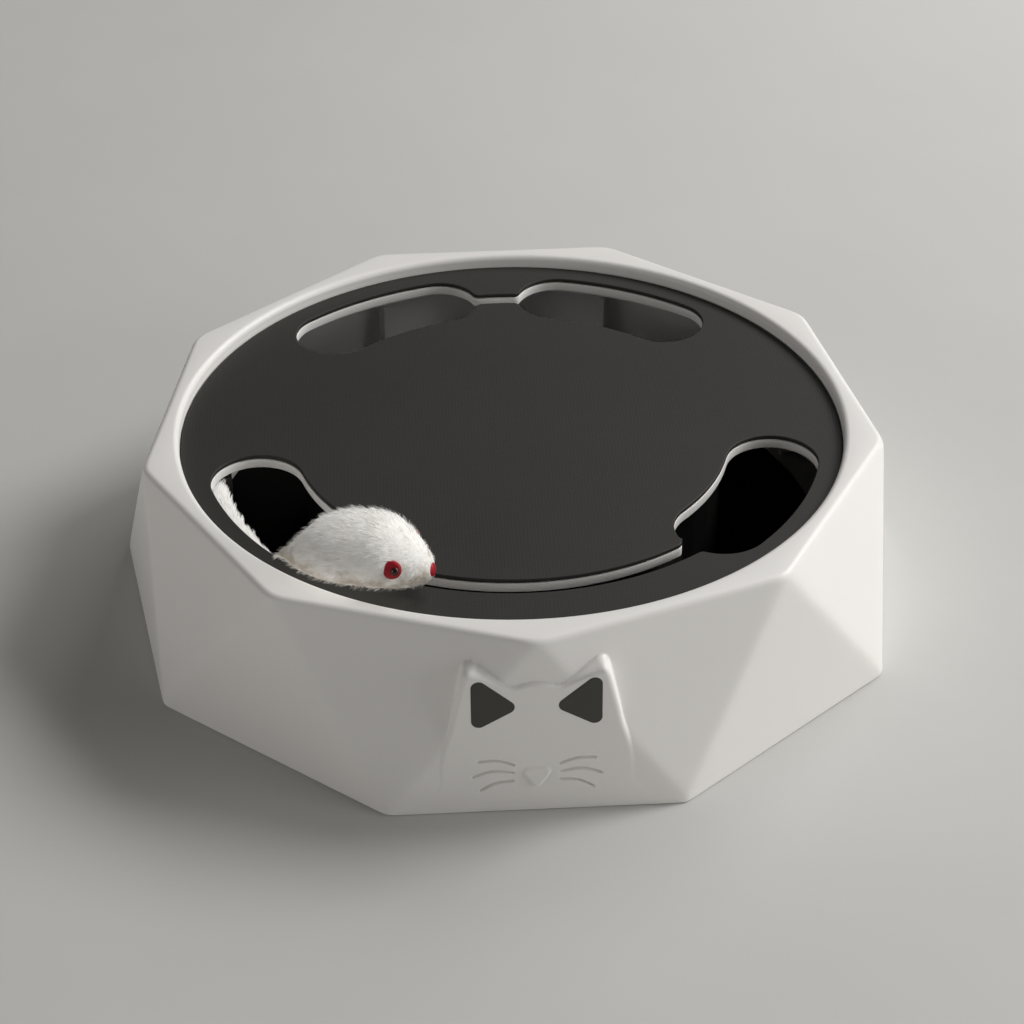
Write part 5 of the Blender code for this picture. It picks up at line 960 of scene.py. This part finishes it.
def make_tail():
    """The stuffed tail, from the mouse down through the slot and along the paw hole, and its hair."""
    controls = []
    for out, along, height, swell in TAIL_ROWS:
        place = polar(SLOT_MIDDLE + out * (TAIL_RUN - SLOT_MIDDLE),
                      math.radians(TAIL_START + along * (TAIL_END - TAIL_START)))
        thin = CROSSING_RADIUS + along * (TIP_RADIUS - CROSSING_RADIUS)
        radius = thin + swell * (SWELL_RADIUS - thin)
        controls.append((*place, TAIL_LOW + height * (TAIL_HIGH - TAIL_LOW), radius))
    route = smooth_line(controls, 8)
    points = route[:, :3]
    radii = route[:, 3]
    directions = unit(np.gradient(points, axis=0))
    side = np.cross(directions[0], (0.3, 0.2, 0.1))
    sides = []
    for direction in directions:
        side = side - direction * (side @ direction)
        side /= np.linalg.norm(side)
        sides.append(side)
    sides = np.array(sides)
    ups = np.cross(directions, sides)
    facets = 24
    verts = []
    for step in range(facets):
        angle = 2 * math.pi * step / facets
        verts.append(points + radii[:, None] * TAIL_CORE * (math.cos(angle) * sides + math.sin(angle) * ups))
    verts = np.stack(verts, 1).reshape(-1, 3)
    tail = make_object("tail_plush", verts, capped_faces(len(points), facets), FUR)
    fix_normals(tail)
    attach(tail, "turntable")
    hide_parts("mouse_tail")
    count = 14000
    rows = rng.integers(10, len(points) - 1, count)
    spin = rng.random(count)[:, None] * 2 * math.pi
    outward = np.cos(spin) * sides[rows] + np.sin(spin) * ups[rows]
    roots = points[rows] + outward * radii[rows][:, None] * HAIR_ROOT
    roots = roots + directions[rows] * rng.uniform(-1, 1, (count, 1))
    lengths = radii[rows] * 0.6 * rng.uniform(0.7, 1.15, count)
    lift = np.radians(12 + 30 * rng.random(count) ** 2)
    widths = rng.uniform(0.045, 0.09, count)
    pile("tail_pile", roots, outward, directions[rows], lift, lengths, widths, int(count * 0.06))


# Materials of the CAD nodes that are kept

NODE_MATERIALS = {
    "deck_screw": STEEL, "slot_guard": BLACK, "base_plate": GREY, "gear_case_tub": GREY, "motor_plate": GREY,
    "gear_case_cover": GREY, "motor_can": STEEL, "motor_end_cap": BLACK, "axle_a": STEEL, "axle_b": STEEL,
    # The drum and the track floor take the black whose extra darkness is painted shade.
    "thrust_washer": NYLON, "control_board": LAMINATE, "switch_body": BLACK, "turntable_drum": BLACK_AND_PAINTED_SHADE,
    "track_floor": BLACK_AND_PAINTED_SHADE, "drive_gear": NYLON, "tail_post": BLACK, "clamp_screw": STEEL, "tail_wire": STEEL,
    "gear_a": NYLON, "gear_b": NYLON, "motor_pinion": BRASS, "motor_shaft": STEEL, "battery_door": GREY,
    "switch_slider": BLACK,
}


def dress_nodes():
    """Gives every CAD node that is kept its material."""
    for name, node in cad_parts.items():
        material = NODE_MATERIALS.get(name)
        if name.startswith("foot_"):
            material = RUBBER
        elif name.startswith("battery_cell"):
            material = JACKET
        elif "contact" in name:
            material = STEEL
        if material:
            node.data.materials.clear()
            node.data.materials.append(material)


# Stage, camera and light

def make_stage():
    size = 6.0
    corners = [(x * size, y * size, 0) for x, y in ((-1, -1), (1, -1), (1, 1), (-1, 1))]
    mesh = bpy.data.meshes.new("floor")
    mesh.from_pydata(corners, [], [(0, 1, 2, 3)])
    mesh.materials.append(FLOOR)
    floor = bpy.data.objects.new("floor", mesh)
    bpy.context.scene.collection.objects.link(floor)


# The camera as fitted to the corners of the rim and the foot in the photograph
CAMERA_AZIMUTH, CAMERA_ELEVATION, CAMERA_ROLL = -3.158, 34.55, -0.491
CAMERA_TARGET = (-0.000014, -0.000012, 0.025317)
CAMERA_DISTANCE = 0.98176
FOCAL_PIXELS, FRAME_PIXELS, SENSOR = 2731.14, 1024, 36


def make_camera():
    angles = (CAMERA_AZIMUTH, CAMERA_ELEVATION, CAMERA_ROLL)
    azimuth, elevation, roll = (math.radians(angle) for angle in angles)
    level = math.cos(elevation)
    back = Vector((math.sin(azimuth) * level, -math.cos(azimuth) * level, math.sin(elevation)))
    right = Vector((math.cos(azimuth), math.sin(azimuth), 0))
    up = back.cross(right)
    turned_right = math.cos(roll) * right + math.sin(roll) * up
    turned_up = -math.sin(roll) * right + math.cos(roll) * up
    data = bpy.data.cameras.new("camera")
    data.lens = FOCAL_PIXELS / FRAME_PIXELS * SENSOR
    data.sensor_width = SENSOR
    camera = bpy.data.objects.new("camera", data)
    bpy.context.scene.collection.objects.link(camera)
    place = Vector(CAMERA_TARGET) + back * CAMERA_DISTANCE
    camera.matrix_world = Matrix((
        (turned_right.x, turned_up.x, back.x, place.x),
        (turned_right.y, turned_up.y, back.y, place.y),
        (turned_right.z, turned_up.z, back.z, place.z),
        (0, 0, 0, 1)))
    bpy.context.scene.camera = camera


LIGHT_DISTANCE = 2.2
LIGHT_TARGET = (0, 0, 0.03)
WARM = (1.0, 0.99, 0.975)
WARMER = (1.0, 0.975, 0.945)
# Name, azimuth and elevation in degrees, size, power, colour
LIGHTS = (
    ("key", 20, 42, 1.0, 28.0, WARM),
    ("rear_key", 56, 41, 1.0, 10.5, WARM),
    ("side_key", 0, 40, 1.0, 4.7, WARM),
    ("right_fill", -25, 15, 1.2, 12.6, WARM),
    ("left_fill", 205, 12, 1.4, 9.5, WARMER),
)


def make_lights():
    """Five soft discs and a faint world. The two keys skip the mouse's shadow, as the photograph has none."""
    world = bpy.data.worlds.new("world")
    world.use_nodes = True
    background = world.node_tree.nodes["Background"]
    background.inputs["Color"].default_value = (1.0, 0.98, 0.955, 1)
    background.inputs["Strength"].default_value = 0.065
    bpy.context.scene.world = world
    no_shadow = bpy.data.collections.new("faint_shadow")
    no_shadow.objects.link(bpy.data.objects["mouse_plush"])
    no_shadow.collection_objects[0].light_linking.link_state = "EXCLUDE"
    for name, azimuth, elevation, size, power, color in LIGHTS:
        data = bpy.data.lights.new(name, "AREA")
        data.shape = "DISK"
        data.size = size
        data.energy = power
        data.color = color
        light = bpy.data.objects.new(name, data)
        rise = math.radians(elevation)
        flat = polar(LIGHT_DISTANCE * math.cos(rise), math.radians(azimuth))
        light.location = (*flat, LIGHT_DISTANCE * math.sin(rise))
        aim = Vector(LIGHT_TARGET) - Vector(light.location)
        light.rotation_euler = aim.to_track_quat("-Z", "Y").to_euler()
        bpy.context.scene.collection.objects.link(light)
        if name in ("key", "rear_key"):
            light.light_linking.blocker_collection = no_shadow


make_tub()
make_ear_inlays()
make_deck()
make_mouse()
make_face()
make_tail()
dress_nodes()
make_stage()
make_camera()
make_lights()
bpy.context.scene.view_settings.view_transform = "Standard"
